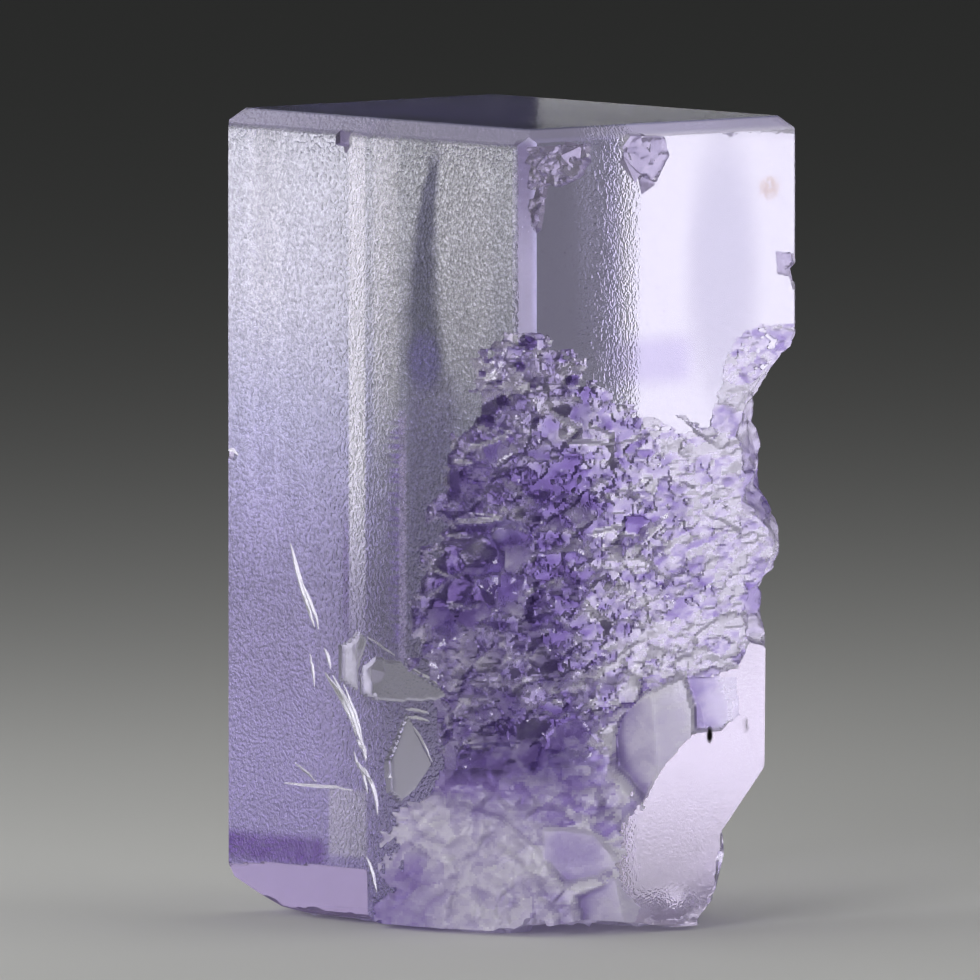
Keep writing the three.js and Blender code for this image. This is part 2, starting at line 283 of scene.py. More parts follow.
def crumpled(us, vs, sizes):
    """Fields of splinters added up, from rows of size and strength: their heights, and their tones."""
    return sum(strength * splinters(us, vs, size) for size, strength in sizes)


# %% A cutter from a height map
def map_cutter(name, us, vs, depth, place, outer, finish=BROKEN, tones=0.0):
    """A closed cutter: the map's surface, and all that lies outside it as far as the depth outer."""
    grid_u, grid_v = np.meshgrid(us, vs, indexing="ij")
    columns, rows = grid_u.shape
    count = columns * rows
    layers = (depth, np.full_like(depth, outer))
    points = np.concatenate([place(grid_u, grid_v, layer) for layer in layers])
    index = np.arange(count).reshape(columns, rows)
    a, b, c, d = index[:-1, :-1], index[1:, :-1], index[1:, 1:], index[:-1, 1:]
    surface = np.stack([a, d, c, b], -1).reshape(-1, 4)
    lid = np.stack([a, b, c, d], -1).reshape(-1, 4) + count
    rim = np.concatenate([index[:-1, 0], index[-1, :-1], index[:0:-1, -1], index[0, :0:-1]])
    ahead = np.roll(rim, -1)
    wall = np.stack([rim, ahead, ahead + count, rim + count], -1)
    faces = np.concatenate([surface, lid, wall])
    purple = np.zeros(len(faces))
    if finish == BROKEN:
        x, y, z = points[:count].T
        purple[:len(surface)] = (purple_at(x * across.x + y * across.y, z) + np.ravel(tones))[surface[:, 0]]
    return mesh_object(name, points, faces.tolist(), finish, purple)


# %% Outlines, rounding, and tilted planes
def eased(value, start, end):
    """0 at the start, 1 at the end, smooth between."""
    share = np.clip((value - start) / (end - start), 0, 1)
    return share * share * (3 - 2 * share)


def inside_outline(us, vs, outline):
    """Which grid points of a map lie inside an outline."""
    grid_u, grid_v = np.meshgrid(us, vs, indexing="ij")
    inside = np.zeros(grid_u.shape, bool)
    for (u0, v0), (u1, v1) in zip(outline, outline[1:] + outline[:1]):
        if v0 == v1:
            continue
        crosses = (v0 > grid_v) != (v1 > grid_v)
        inside ^= crosses & (grid_u < (u1 - u0) * (grid_v - v0) / (v1 - v0) + u0)
    return inside


BLUR_REACH = 3  # cells to either side


def blur(depth, cells):
    """Rounds a map's sharpest corners, as a knock does."""
    steps = np.arange(-BLUR_REACH, BLUR_REACH + 1)
    weights = np.exp(-0.5 * (steps / cells) ** 2)
    weights /= weights.sum()
    for axis in (0, 1):
        margins = [(BLUR_REACH, BLUR_REACH) if k == axis else (0, 0) for k in (0, 1)]
        padded = np.pad(depth, margins, mode="edge")
        places = np.arange(depth.shape[axis]) + BLUR_REACH
        depth = sum(w * np.take(padded, places + k, axis) for k, w in zip(steps, weights))
    return depth


def tilted(us, vs, place, depth, lean_u, lean_v):
    """A plane over a map, with the depth it has at a place, and its slopes across and up."""
    return depth + lean_u * (us[:, None] - place[0]) + lean_v * (vs[None, :] - place[1])


# %% [markdown]
# ## Where the purple lies
#
# The purple of fluorite lies in zones. It is deepest in the hollow and at the left of the break, and pale
# on the right. Each face of the break keeps its own purple as a number, 0 for nearly clear and above 1
# for the deepest, so that neighbouring splinters can differ sharply, which a soft texture can't do.
# Further on, painted shade in hollows, under ledges and on facets that face down, and painted highlights on
# lips and proud places, are added to these numbers.

# %% Zones of purple
PURPLE_ZONES = [
    # centre (across, up), radii, and strength
    ((0.0, 10.1), (5.2, 2.3), 0.25), ((1.8, 9.3), (2.4, 2.0), 0.10), ((-0.8, 7.9), (6.0, 1.2), 0.22),
    ((-2.6, 16.0), (2.8, 2.6), 0.22), ((-0.6, 21.4), (3.6, 2.2), 0.18), ((-5.6, 1.3), (2.6, 2.2), 0.3),
    ((12.2, 22.2), (1.0, 3.2), 0.4), ((12.0, 16.4), (0.8, 1.4), 0.4), ((1.8, 19.5), (2.8, 5.0), 0.14),
    ((-1.5, 22.4), (1.6, 1.2), 0.2), ((-1.5, 16.8), (1.8, 1.2), 0.3), ((2.3, 22.4), (1.8, 1.6), 0.4),
    ((1.0, 17.2), (3.0, 3.2), 0.22), ((0.4, 20.6), (1.2, 1.2), -0.25), ((8.4, 25.0), (1.2, 1.0), 0.15),
    ((9.3, 11.0), (1.4, 1.3), 0.12), ((4.8, 25.4), (2.8, 1.9), -0.2), ((4.6, 9.2), (2.2, 2.2), -0.15),
    ((-0.5, 4.6), (8.0, 3.8), 0.06), ((3.2, 4.3), (1.5, 1.1), 0.16), ((5.7, 9.6), (2.2, 3.4), 0.15),
]
LEAST_PURPLE, LEFT_PURPLE = 0.2, 0.46  # everywhere, and what the left of the break has more
print("purple zones", len(PURPLE_ZONES))


def purple_at(side, z):
    """How purple the break is from place to place, before its facets differ."""
    foot, top = 1 - 0.55 * eased(z, 7.5, 5.5), 1 - 0.3 * eased(z, 25.5, 28.5)
    purple = LEAST_PURPLE + LEFT_PURPLE * eased(side, 7.6, 2.2) * foot * top
    for (side0, z0), (wide, tall), strength in PURPLE_ZONES:
        purple = purple + strength * eased(((side - side0) / wide) ** 2 + ((z - z0) / tall) ** 2, 1.3, 0.1)
    return purple


# %% [markdown]
# ## The broken front corner
#
# The break is widest at mid height. At each height it starts on the long face, runs round inside the
# lost corner, and ends on the short face. A curve through those three places gives the mean depth. The
# crystal let go in level layers, so the left of the break is terraced.

# %% The terraced surface of the break
# From the top down: height, run along the long face, run along the short face, and how full the lost
# corner is left.
BREAK = np.array([
    (30.0, 0.7, 0.7, 0.90), (29.2, 1.9, 2.0, 0.80), (28.4, 3.2, 3.4, 0.76), (27.0, 3.7, 5.8, 0.72),
    (24.8, 4.2, 10.8, 0.66), (22.8, 5.6, 14.6, 0.62), (18.3, 7.0, 15.0, 0.60), (14.2, 7.8, 13.0, 0.58),
    (11.8, 7.6, 12.6, 0.52), (9.3, 6.6, 10.0, 0.42), (7.0, 7.6, 7.8, 0.50), (4.0, 11.2, 6.2, 0.70),
    (0.0, 11.6, 5.4, 0.66),
])
LAYER = (0.3, 1.5)  # heights of the terraces
LAYER_SKEW = 1.6  # above 1 makes low terraces the more common
SLIP = (0.55, 0.3, 0.07)  # how far each terrace strays: along the long face, the short face, in fullness
QUIET_TOP = 3.0  # over this height below the break's top, terraces stray less
QUIET_FOOT = (8.5, 0.3)  # below this height they stray by this share
BULGE = 0.4  # how far the curve's middle is drawn out to the lost corner
CURVE_POINTS = 60
PITCH = 0.1  # grid of the front break
ROOT2 = math.sqrt(2)
UNCUT = 0.6  # a map this far outside the block leaves it whole
# Past the break, the map leaves the block at this gap and slope, so that splinters fray the break's edge.
EDGE_GAP, EDGE_RISE = 0.02, 0.5
front_us = np.arange(-11.0, 14.6, PITCH)
front_vs = np.arange(-0.6, 31.4, PITCH)
print("grid of the break", len(front_us), "by", len(front_vs))


# %% Level terraces
def face_depth(u):
    """Depth of the two whole faces along the corner's diagonal, at a place across it."""
    return np.minimum(u + ROOT2 * HALF_D, ROOT2 * HALF_W - u)


def terraced_break(us, vs):
    """The break's depth over the map, as level terraces."""
    depth = np.repeat(face_depth(us)[:, None] + UNCUT, len(vs), axis=1)
    share = np.linspace(0, 1, CURVE_POINTS)
    corner = np.array((HALF_W, -HALF_D))
    top = BREAK[0, 0]
    while top > vs[0]:
        bottom = top - LAYER[0] - (LAYER[1] - LAYER[0]) * random.random() ** LAYER_SKEW
        z = max(0.0, (top + bottom) / 2)
        left, right, full = (np.interp(z, BREAK[::-1, 0], BREAK[::-1, k]) for k in (1, 2, 3))
        quiet = min(1.0, (BREAK[0, 0] - z) / QUIET_TOP) * (QUIET_FOOT[1] if z < QUIET_FOOT[0] else 1.0)
        slips = zip((left, right, full), SLIP)
        left, right, full = (v + quiet * slip * random.uniform(-1, 1) for v, slip in slips)
        start, end = np.array((HALF_W - left, -HALF_D)), np.array((HALF_W, -HALF_D + right))
        middle = (start + end) / 2 + full * (corner - (start + end) / 2)
        middle = middle + BULGE * full * (corner - middle)
        curve = [(1 - t) ** 2 * start + 2 * t * (1 - t) * middle + t * t * end for t in share]
        u = [(x + y) / ROOT2 for x, y in curve]
        d = [(x - y) / ROOT2 for x, y in curve]
        inside = np.ix_((us > u[0]) & (us < u[-1]), (vs <= top) & (vs > bottom))
        depth[inside] = np.interp(us[inside[0][:, 0]], u, d)[:, None]
        rows = np.flatnonzero((vs <= top) & (vs > bottom))
        beyond = np.maximum(np.maximum(u[0] - us, us - u[-1]), 0)
        rise = np.where(beyond > 0, face_depth(us) + EDGE_GAP + EDGE_RISE * beyond, 9e9)
        depth[:, rows] = np.minimum(depth[:, rows], rise[:, None])
        top = bottom
    return depth


front_depth = terraced_break(front_us, front_vs)
whole_depth = np.repeat(face_depth(front_us)[:, None], len(front_vs), axis=1)
print("deepest loss", round(float((whole_depth - front_depth).max()), 2), "mm")

# %% [markdown]
# ### How rough the break is
#
# On the left the break is deep and hackly. To the right it thins out over the short face as far as the
# rear edge, and its relief dies away. Below a hollow, whose floor flows in low ridges, it is a worn,
# nearly flat cleavage. The strength of the splinters follows from place to place.

# %% Where the break is thin, and where it is low
THIN = [
    (3.0, 27.0), (5.0, 26.2), (6.8, 25.2), (8.4, 24.6), (10.2, 24.8), (10.6, 26.8), (11.1, 28.9),
    (12.0, 29.8), (14.5, 29.8), (14.5, 14.6), (12.2, 14.2), (11.6, 12.8), (9.0, 12.2), (5.5, 12.4),
    (2.0, 20.0),
]
THIN_INSET = (0.22, 0.45)  # how far it is let in at its top and at its foot
LOW_FACE = 8.4  # below this height the break is worn nearly flat
front_u, front_v = front_us[:, None], front_vs[None, :]


def across_break(left, right, start, end):
    """A value that eases from left to right over a stretch of the map."""
    return left + (right - left) * eased(front_us, start, end)[:, None]


thin = inside_outline(front_us, front_vs, THIN)
thin_inset = np.interp(front_vs, (20.0, 27.0), THIN_INSET[::-1])[None, :]
front_depth = np.where(thin, np.minimum(front_depth, whole_depth - thin_inset), front_depth)
thickness = whole_depth - front_depth
lost = thickness > 0
low_share = np.clip((LOW_FACE + 0.8 - front_vs) / 1.6, 0, 1)[None, :]
print("thin share of the break", round(float((thin & lost).sum() / lost.sum()), 2))

# %% Relief of the break
SPLINTERS = [(2.3, 0.55), (1.1, 0.75), (0.5, 0.6), (0.25, 0.4)]  # size and strength of each field
FRAYED = (-0.45, 0.25)  # where this much is lost, splinters alone say what is broken

large_relief = across_break(0.9, 0.34, 1.5, 7.5) * (1 - low_share) + 0.3 * low_share
small_relief = across_break(0.85, 1.0, 1.5, 9.5) * (1 - 0.45 * low_share)
mean_depth = blur(blur(front_depth, 2.5), 2.5)
evened = front_depth + across_break(0.2, 0.9, -1.0, 3.0) * (mean_depth - front_depth)
front_depth = np.where(lost, evened, front_depth)
front_depth = np.where(lost & (low_share > 0.5), mean_depth, front_depth)
large, large_tones = crumpled(front_us, front_vs, SPLINTERS[:2])
small, small_tones = crumpled(front_us, front_vs, SPLINTERS[2:])
calm = np.interp(front_vs, (24.0, 28.0), (1.0, 0.6))[None, :]
front_depth = front_depth + calm * (large_relief * large + small_relief * small)
frayed = (front_depth < whole_depth) & (thickness > FRAYED[0])
lost = np.where(thickness < FRAYED[1], frayed, lost) | (thin & (front_v < 25))
print("relief of the splinters", round(float(np.std(large + small)), 2), "mm")

# %% [markdown]
# ### Large splinters, and the floor of the hollow
#
# Some splinters are far larger than their neighbours. Each is one tilted plane, and the break is let in
# as far as that plane. Past its reach the plane climbs away, so its rim comes out ragged.

# %% Shards, and ridges in the hollow
# Place across and up, how far the plane is let in there, its slopes, and its reach.
SHARDS = [
    (0.6, 24.0, 1.9, 0.35, -0.45, 1.9), (-1.4, 18.8, 2.6, -0.45, 0.4, 1.9), (2.8, 18.2, 2.7, 0.4, 0.35, 1.7),
    (-0.3, 14.6, 2.8, 0.15, -0.5, 1.8), (4.4, 21.8, 1.9, 0.5, -0.3, 1.7), (5.2, 16.0, 1.5, 0.1, 0.45, 1.8),
    (7.8, 19.4, 1.0, 0.3, -0.3, 1.5), (2.2, 21.0, 2.6, -0.6, 0.1, 1.4), (-3.1, 15.6, 1.7, -0.2, -0.6, 1.3),
    (0.6, 10.7, 2.3, -0.42, 0.12, 3.4), (4.3, 9.9, 2.4, 0.45, -0.1, 2.6), (5.0, 25.4, 0.8, 0.1, 0.35, 1.9),
]
RIM_START, RIM_RISE = 0.55, 1.1  # a shard's plane climbs away from this share of its reach, at this slope
FLOW = (6.9, 9.0)  # heights between which the hollow's floor flows in ridges
RIDGE_HEIGHT, RIDGE_PITCH = 0.03, 0.62
fine = crumpled(front_us, front_vs, [(0.6, 0.6), (0.25, 0.5)])[0]
wander = splinters(front_us, front_vs, 1.4)[0]  # what makes the rims of shards, ledges and pits ragged

for u0, v0, inset, lean_u, lean_v, reach in SHARDS:
    plane = tilted(front_us, front_vs, (u0, v0), face_depth(u0) - inset, lean_u, lean_v)
    away = np.hypot(front_u - u0, 1.3 * (front_v - v0)) + 0.8 * wander
    plane = plane + 0.15 * fine + RIM_RISE * np.maximum(away - RIM_START * reach, 0)
    front_depth = np.where(lost, np.minimum(front_depth, plane), front_depth)
flowing = (front_v > FLOW[0]) & (front_v < FLOW[1]) & (front_u < 5.6)
ridges = RIDGE_HEIGHT * np.sin(front_v * 2 * math.pi / RIDGE_PITCH + 0.9 * np.sin(0.8 * front_u))
front_depth = np.where(flowing & lost, blur(front_depth, 2.5) + ridges + 0.2 * fine, front_depth)
print("shards", len(SHARDS))

# %% [markdown]
# ### Calm places in the break
#
# Some facets are large and clean: a smooth slab with a cube-cornered pit beside it low on the right, a
# little pillar on the left, and two chips by the foot. Each is an outline across and up, filled with a
# tilted plane, and roughened a little.

# %% Slab, pit and pillar
FACETS = {
    # name: outline, how far it is let in, its slopes across and up, and its roughness
    "slab": ([(9.0, 12.5), (7.1, 11.7), (6.0, 10.5), (5.7, 9.4), (5.7, 8.2), (7.2, 6.5), (8.2, 8.2),
              (9.4, 9.6), (9.4, 11.0)], 0.35, 0.2, 0.10, 0.05),
    "pit": ([(9.1, 12.5), (11.5, 12.4), (11.7, 10.5), (10.8, 9.8), (9.5, 9.7), (9.4, 11.0)],
            0.55, -0.3, 0.2, 0.08),
    "pillar": ([(-2.4, 22.8), (-1.75, 22.8), (-1.75, 21.2), (-2.4, 21.2)], 0.9, 1.0, 0.0, 0.02),
    "foot chip": ([(2.3, 5.3), (3.7, 5.4), (5.0, 5.05), (6.2, 3.65), (5.0, 2.8), (3.5, 2.5), (2.5, 3.75)],
                  1.5, -0.12, 0.28, 0.12),
    "toe chip": ([(4.0, 1.9), (6.0, 2.8), (7.1, 1.3), (6.6, -0.4), (4.3, -0.4)], 0.75, 0.1, 0.22, 0.08),
}
CALM_TONES = 0.2  # the share of the splinters' tones that shows on these facets
tone_share = np.ones(front_depth.shape)
for outline, inset, lean_u, lean_v, rough in FACETS.values():
    inside = inside_outline(front_us, front_vs, outline)
    tone_share[inside] = CALM_TONES
    middle = np.mean(outline, axis=0)
    plane = tilted(front_us, front_vs, middle, face_depth(middle[0]) - inset, lean_u, lean_v)
    front_depth = np.where(inside, plane + rough * fine, front_depth)
    lost |= inside
print("calm facets", ", ".join(FACETS))

# %% [markdown]
# ### Ledges and little pits
#
# Where a layer let go late, a ledge stands proud and its lip catches the light. Above the break, single
# grains have popped out of the face. Both also carry painted light in how purple their faces are: a painted
# highlight along each ledge's lip and round each pit's rim, and painted shade below each lip and inside each
# pit.

# %% Ledges
# From and to (across, up), and how far the break is let in above each.
LEDGES = [
    ((-1.3, 24.1), (0.9, 24.6), 0.5), ((-1.95, 23.2), (-1.0, 23.2), 0.5), ((3.4, 24.4), (7.0, 24.3), 0.45),
    ((-2.2, 20.4), (0.3, 20.6), 0.4), ((-2.6, 19.8), (-1.3, 19.7), 0.4), ((-3.2, 17.9), (-2.2, 17.6), 0.5),
    ((1.4, 16.7), (4.2, 17.6), 0.4), ((4.6, 19.9), (6.9, 19.5), 0.35), ((-2.8, 15.9), (-0.9, 16.2), 0.4),
]
LEDGE_FADE = 0.9  # mm above a ledge over which the break comes back out

tones = across_break(0.25, 0.32, 1.0, 6.0) * large_tones + across_break(0.25, 0.6, 1.0, 6.0) * small_tones
tones = tones * tone_share
for (u0, v0), (u1, v1), bite in LEDGES:
    over = front_v - np.interp(front_us, (u0, u1), (v0, v1))[:, None] - 0.35 * wander
    ends = (eased(front_us, u0 - 0.2, u0 + 0.3) * eased(front_us, u1 + 0.2, u1 - 0.3))[:, None]
    front_depth = front_depth - bite * ends * np.where(over > 0, np.exp(-over / LEDGE_FADE), 0)
    # Painted highlight along the ledge's lip, and painted shade just below it.
    tones = tones + ends * (0.25 * (np.abs(over + 0.55) < 0.35) - 0.6 * (np.abs(over) < 0.12))
print("ledges", len(LEDGES))

# %% Little pits at the top of the break
# Place across and up, radius, and depth.
PITS = [
    (-0.2, 28.5, 0.36, 0.15), (1.35, 28.2, 0.34, 0.5), (0.3, 27.4, 0.28, 0.4), (-0.5, 27.8, 0.25, 0.3),
    (3.9, 27.5, 0.32, 0.4), (1.9, 29.4, 0.4, 0.3), (0.5, 26.5, 0.35, 0.5), (-0.5, 25.4, 0.4, 0.6),
    (2.5, 28.8, 0.22, 0.3), (2.0, 27.2, 0.2, 0.2),
]
for u0, v0, radius, bite in PITS:
    away = np.hypot(front_u - u0, 1.2 * (front_v - v0)) + 0.25 * wander
    bowl = np.minimum(front_depth, whole_depth) - bite * (1.2 - away / radius)
    front_depth = np.where(away < radius, bowl, front_depth)
    # Painted shade inside the pit, and a painted highlight round its rim.
    tones = tones + 0.55 * (away < 0.9 * radius) - 0.2 * (np.abs(away - radius) < 0.1)
    lost |= away < radius
print("pits", len(PITS))

# %% Last rounding, and painted shade in hollows and on facets that face down
SKIN = 0.05  # the least that is lost anywhere in the break
HOLLOW_SHADE = 0.9  # painted shade: purple added for each mm that a place lies below its surroundings; proud places get paler, a painted highlight
HOLLOW_ROUNDS = 5  # rounds of blur that give those surroundings

front_depth = np.where(low_share > 0.5, blur(front_depth, 1.0), blur(front_depth, 0.45))
front_depth = np.minimum(front_depth, whole_depth - SKIN)
around = front_depth
for _ in range(HOLLOW_ROUNDS):
    around = blur(around, 3.0)
# Painted shade in hollows, and a painted highlight on proud places.
tones = tones + HOLLOW_SHADE * np.clip(around - front_depth, -0.3, 0.4)
# Painted shade on facets that face down, and painted light on facets that face up.
overhang = np.clip(np.gradient(front_depth, PITCH, axis=1), -1, 1)
tones = tones + across_break(0.16, 0.24, 1.0, 6.0) * overhang * (1 - 0.3 * low_share)
front_depth = np.where(lost, front_depth, whole_depth + UNCUT)
print("share of the map that is broken", round(float(lost.mean()), 2))


# %% Cut the front break
FRONT_OUTER = 22.0  # beyond the lost corner, along its diagonal


def place_front(u, v, d):
    """From the map to the crystal: its depth runs along the corner's diagonal."""
    return np.stack([(u + d) / ROOT2, (u - d) / ROOT2, v], -1).reshape(-1, 3)


front_cutter = map_cutter(
    "front_break", front_us, front_vs, front_depth, place_front, FRONT_OUTER, BROKEN, tones
)
cut(crystal, front_cutter)
print("after the front break", len(crystal.data.polygons))

# %% [markdown]
# ## The chipped rear edge
#
# This one is a height map too. It is seen along the line of sight, so its outline, which the eye reads
# against the backdrop, is given directly as height and distance. Its foot is one clean octahedral cleavage.

# %% Rear edge
# From the top down: height, and the distance across from the crystal's middle line.
REAR_EDGE = np.array([
    (31.0, 14.6), (29.4, 14.05), (28.5, 13.8), (28.1, 13.1), (27.0, 12.5), (26.0, 12.0), (24.8, 11.9),
    (23.8, 12.2), (22.8, 12.25), (22.2, 12.05), (21.5, 12.15), (20.8, 12.6), (19.6, 13.1), (18.2, 13.15),
    (17.5, 12.8), (17.0, 12.3), (15.5, 12.2), (14.3, 12.55), (7.85, 12.5), (4.7, 10.3), (3.7, 10.4),
    (2.3, 10.1), (1.4, 9.9), (0.25, 9.1), (-0.5, 8.6),
])
REAR_PITCH = 0.14
# A second cut, turned from the first, a little outside it and a little lower.
SECOND_TURN, SECOND_BACK, SECOND_DOWN = 0.3, 0.3, 0.35
CLEAVED = (4.9, 14.0)  # heights between which the edge is clean
REAR_PROUD = 0.1  # how far a facet may stand past the outline
LET_IN = 0.1  # roughened places are let in by this, so that few splinters stand proud
REAR_OUTER = 19.0
across_x, across_y = math.cos(TURN), math.sin(TURN)
rear_us = np.arange(-9.6, 9.8, REAR_PITCH)
rear_vs = np.arange(-0.7, 31.2, REAR_PITCH)
profile = np.interp(rear_vs, REAR_EDGE[::-1, 0], REAR_EDGE[::-1, 1])
second = np.interp(rear_vs + SECOND_DOWN, REAR_EDGE[::-1, 0], REAR_EDGE[::-1, 1]) + SECOND_BACK
second = (second[None, :] + rear_us[:, None] * math.sin(SECOND_TURN)) / math.cos(SECOND_TURN)
second[:, rear_vs < CLEAVED[1]] = np.inf  # the second cut takes nothing off lower down
rear_depth = np.minimum(np.repeat(profile[None, :], len(rear_us), axis=0), second)
# The whole faces in this map's directions.
whole_rear = np.minimum((HALF_W + across_y * rear_us) / across_x, (HALF_D - across_x * rear_us) / across_y)
whole_rear = np.repeat(whole_rear[:, None], len(rear_vs), axis=1)
chipped = (rear_depth < whole_rear + 0.2) & ((rear_vs < CLEAVED[0]) | (rear_vs > CLEAVED[1]))[None, :]
rear_relief, rear_tones = 0.5 * crumpled(rear_us, rear_vs, SPLINTERS[1:])
rear_depth = np.where(chipped, rear_depth + rear_relief - LET_IN, rear_depth)
rear_depth = np.minimum(blur(rear_depth, 0.6), profile[None, :] + REAR_PROUD)


def place_rear(t, z, r):
    """From the map to the crystal: its depth runs across the line of sight."""
    return np.stack([r * across_x - t * across_y, r * across_y + t * across_x, z], -1).reshape(-1, 3)


rear_cutter = map_cutter(
    "rear_edge", rear_us, rear_vs, rear_depth, place_rear, REAR_OUTER, BROKEN, 0.5 * rear_tones
)
cut(crystal, rear_cutter)
print("after the rear edge", len(crystal.data.polygons))

# %% [markdown]
# ## Worn patches on the flat faces
#
# A patch of a face is a small map of its own: inside its outline the face is let in by a little, as a
# tilted plane, and chips are pressed into it. The same helper makes a rough bruise or a clean facet.

# %% Face patches
FACES = {
    # name: the axis of the map's u, and of its depth, and the side on which the face lies
    "long": (0, 1, -HALF_D),
    "short": (1, 0, HALF_W),
}
MARGIN = 0.6  # a patch's map reaches this far past its outline
PATCH_SKIN = 0.02  # the least that is lost inside the outline
PATCH_UNCUT = 0.35  # elsewhere the map lies this far outside the face
PATCH_OUTER = 1.5


def face_patch(face, outline, inset, lean_u, lean_v, rough, pitch=0.08, finish=BRUISED):
    """Lets a patch of a face in, as a tilted plane roughened with splinters."""
    along, outward, side = FACES[face]
    (low_u, low_v), (high_u, high_v) = np.min(outline, axis=0), np.max(outline, axis=0)
    us = np.arange(low_u - MARGIN, high_u + MARGIN, pitch)
    vs = np.arange(low_v - MARGIN, high_v + MARGIN, pitch)
    inside = inside_outline(us, vs, outline)
    plane = tilted(us, vs, np.mean(outline, axis=0), abs(side) - inset, lean_u, lean_v)
    plane = plane + rough * crumpled(us, vs, SPLINTERS[1:])[0]
    depth = np.where(inside, np.minimum(plane, abs(side) - PATCH_SKIN), abs(side) + PATCH_UNCUT)
    depth = blur(depth, 0.5)

    def place(u, v, d):
        points = np.zeros((*u.shape, 3))
        points[..., along], points[..., 2], points[..., outward] = u, v, d * math.copysign(1, side)
        return points.reshape(-1, 3)

    cut(crystal, map_cutter("patch", us, vs, depth, place, abs(side) + PATCH_OUTER, finish))


# %% Bruises on the short face
BRUISES = [
    # outline, inset, slopes, and roughness
    ([(-8.6, 39.2), (-4.7, 39.2), (-4.6, 38.3), (-5.3, 37.5), (-6.7, 37.1), (-7.4, 37.3), (-7.8, 35.2),
      (-8.1, 34.8), (-8.5, 36.0)], 0.3, 0.02, 0.0, 0.6),
    ([(-2.6, 38.9), (-2.0, 39.5), (0.2, 39.4), (0.5, 38.4), (-0.4, 37.1), (-1.4, 37.5)],
     0.35, 0.25, 0.1, 0.2),
    ([(7.3, 33.4), (8.6, 33.2), (8.6, 32.0), (7.5, 32.2)], 0.2, -0.1, 0.1, 0.3),
]
for outline, inset, lean_u, lean_v, rough in BRUISES:
    face_patch("short", outline, inset, lean_u, lean_v, rough)
print("bruises", len(BRUISES), "faces", len(crystal.data.polygons))

# %% Clear facets on the long face
PANEL_PITCH = 0.12
PANELS = [
    # outline, inset, and slopes
    ([(-2.69, 13.87), (-2.0, 14.06), (-1.16, 14.64), (-0.32, 14.29), (-0.71, 13.57), (-1.01, 12.86),
      (-1.09, 11.57), (-2.15, 11.86), (-2.64, 12.14)], 0.16, 0.07, -0.03),
    ([(0.13, 13.49), (2.08, 13.37), (2.42, 13.14), (5.85, 11.87), (4.78, 11.52), (3.41, 11.35),
      (0.51, 11.16), (-1.09, 11.47), (-0.93, 12.87)], 0.2, -0.03, 0.09),
    ([(2.5, 10.86), (3.56, 9.57), (4.55, 8.38), (3.03, 6.92), (1.96, 6.27), (1.05, 6.72), (0.82, 8.19),
      (1.43, 9.12)], 0.2, 0.06, 0.03),
    ([(-11.9, 2.1), (-11.9, 2.4), (-8.0, 2.75), (-3.6, 2.86), (-0.5, 2.9), (-0.5, 0.3), (-11.9, 0.3)],
     0.62, 0.0, 0.5),
]
for outline, inset, lean_u, lean_v in PANELS:
    face_patch("long", outline, inset, lean_u, lean_v, 0.0, PANEL_PITCH, CLEAR)
print("clear facets", len(PANELS), "faces", len(crystal.data.polygons))

# %% [markdown]
# ## Cracks
#
# Low on the long face a bundle of cracks runs down and in. A crack is a gap of air, and in a clear
# stone it shines, because light that meets the gap at a slant is mirrored. So each is a real slot, a
# twentieth of a millimetre wide, cut in from the face.

# %% Lines of the cracks
# Places along the face and up, and how deep the slot goes.
CRACKS = [
    ([(-6.35, 18.65), (-5.9, 17.2), (-5.23, 15.83), (-4.7, 15.1)], 1.4),
    ([(-5.5, 16.9), (-5.0, 15.9), (-4.35, 15.0), (-4.2, 14.5)], 1.0),
    ([(-5.35, 16.2), (-4.8, 15.0), (-4.45, 14.6)], 0.9),
    ([(-4.82, 13.3), (-4.7, 12.5), (-4.49, 11.65)], 0.7),
    ([(-3.75, 13.6), (-3.5, 13.1), (-3.26, 12.6)], 0.9),
    ([(-3.68, 12.4), (-2.9, 11.5), (-2.38, 11.0), (-1.7, 10.1), (-1.28, 9.38)], 1.5),
    ([(-3.1, 12.3), (-2.4, 11.4), (-1.7, 10.4), (-1.0, 9.2), (-0.55, 8.6)], 1.2),
    ([(-2.3, 11.9), (-1.7, 10.9), (-1.1, 9.9), (-0.75, 9.0)], 0.8),
    ([(-1.3, 9.2), (-0.8, 8.7), (-0.55, 8.2)], 1.3),
    ([(-1.5, 8.6), (-1.28, 7.99), (-0.6, 7.5), (-0.1, 7.1)], 0.9),
    ([(-0.7, 7.9), (-0.2, 7.0), (0.2, 6.3), (0.36, 5.59)], 1.2),
    ([(-1.1, 8.1), (-0.75, 7.3), (-0.4, 6.6)], 0.7),
    ([(-6.76, 6.72), (-4.06, 6.67), (-2.6, 6.72), (-1.51, 6.69)], 0.5),
    ([(-6.0, 7.75), (-5.1, 7.3), (-4.31, 6.94)], 0.4),
    ([(-0.63, 3.5), (-0.3, 3.0), (-0.17, 2.69), (0.05, 2.2), (0.24, 1.72)], 1.0),
    ([(2.42, 13.2), (3.6, 12.75), (4.8, 12.3), (5.8, 11.9)], 0.5),
    ([(-0.45, 14.35), (0.6, 13.95), (1.66, 13.55)], 0.3),
    ([(2.5, 10.95), (3.4, 10.9), (4.3, 10.85)], 0.6),
    ([(2.6, 10.55), (3.5, 10.5), (4.3, 10.46)], 0.6),
    ([(2.5, 10.7), (3.0, 10.1), (3.56, 9.6), (4.1, 9.0), (4.5, 8.45)], 0.5),
    ([(-11.2, 22.95), (-10.8, 22.9), (-10.3, 22.78)], 0.9),
]
print("cracks", len(CRACKS))

# %% Crack slots
CRACK_WIDTH = 0.05
CRACK_STEPS = 9
CRACK_STRAY = 0.04  # how far a slot wanders off its line
TIP = 0.12  # how far into the half wave of its swelling a slot starts
OUT = -0.2  # the cutter starts this far outside the face
GLIMPSE = 0.62  # how far to the right a slot's wall is seen through the face, for each mm of its depth
SHALLOW = 0.35  # the slots are cut this share of their full depth
SHELF = 0.02  # the clear skin beside a slot is let in by this


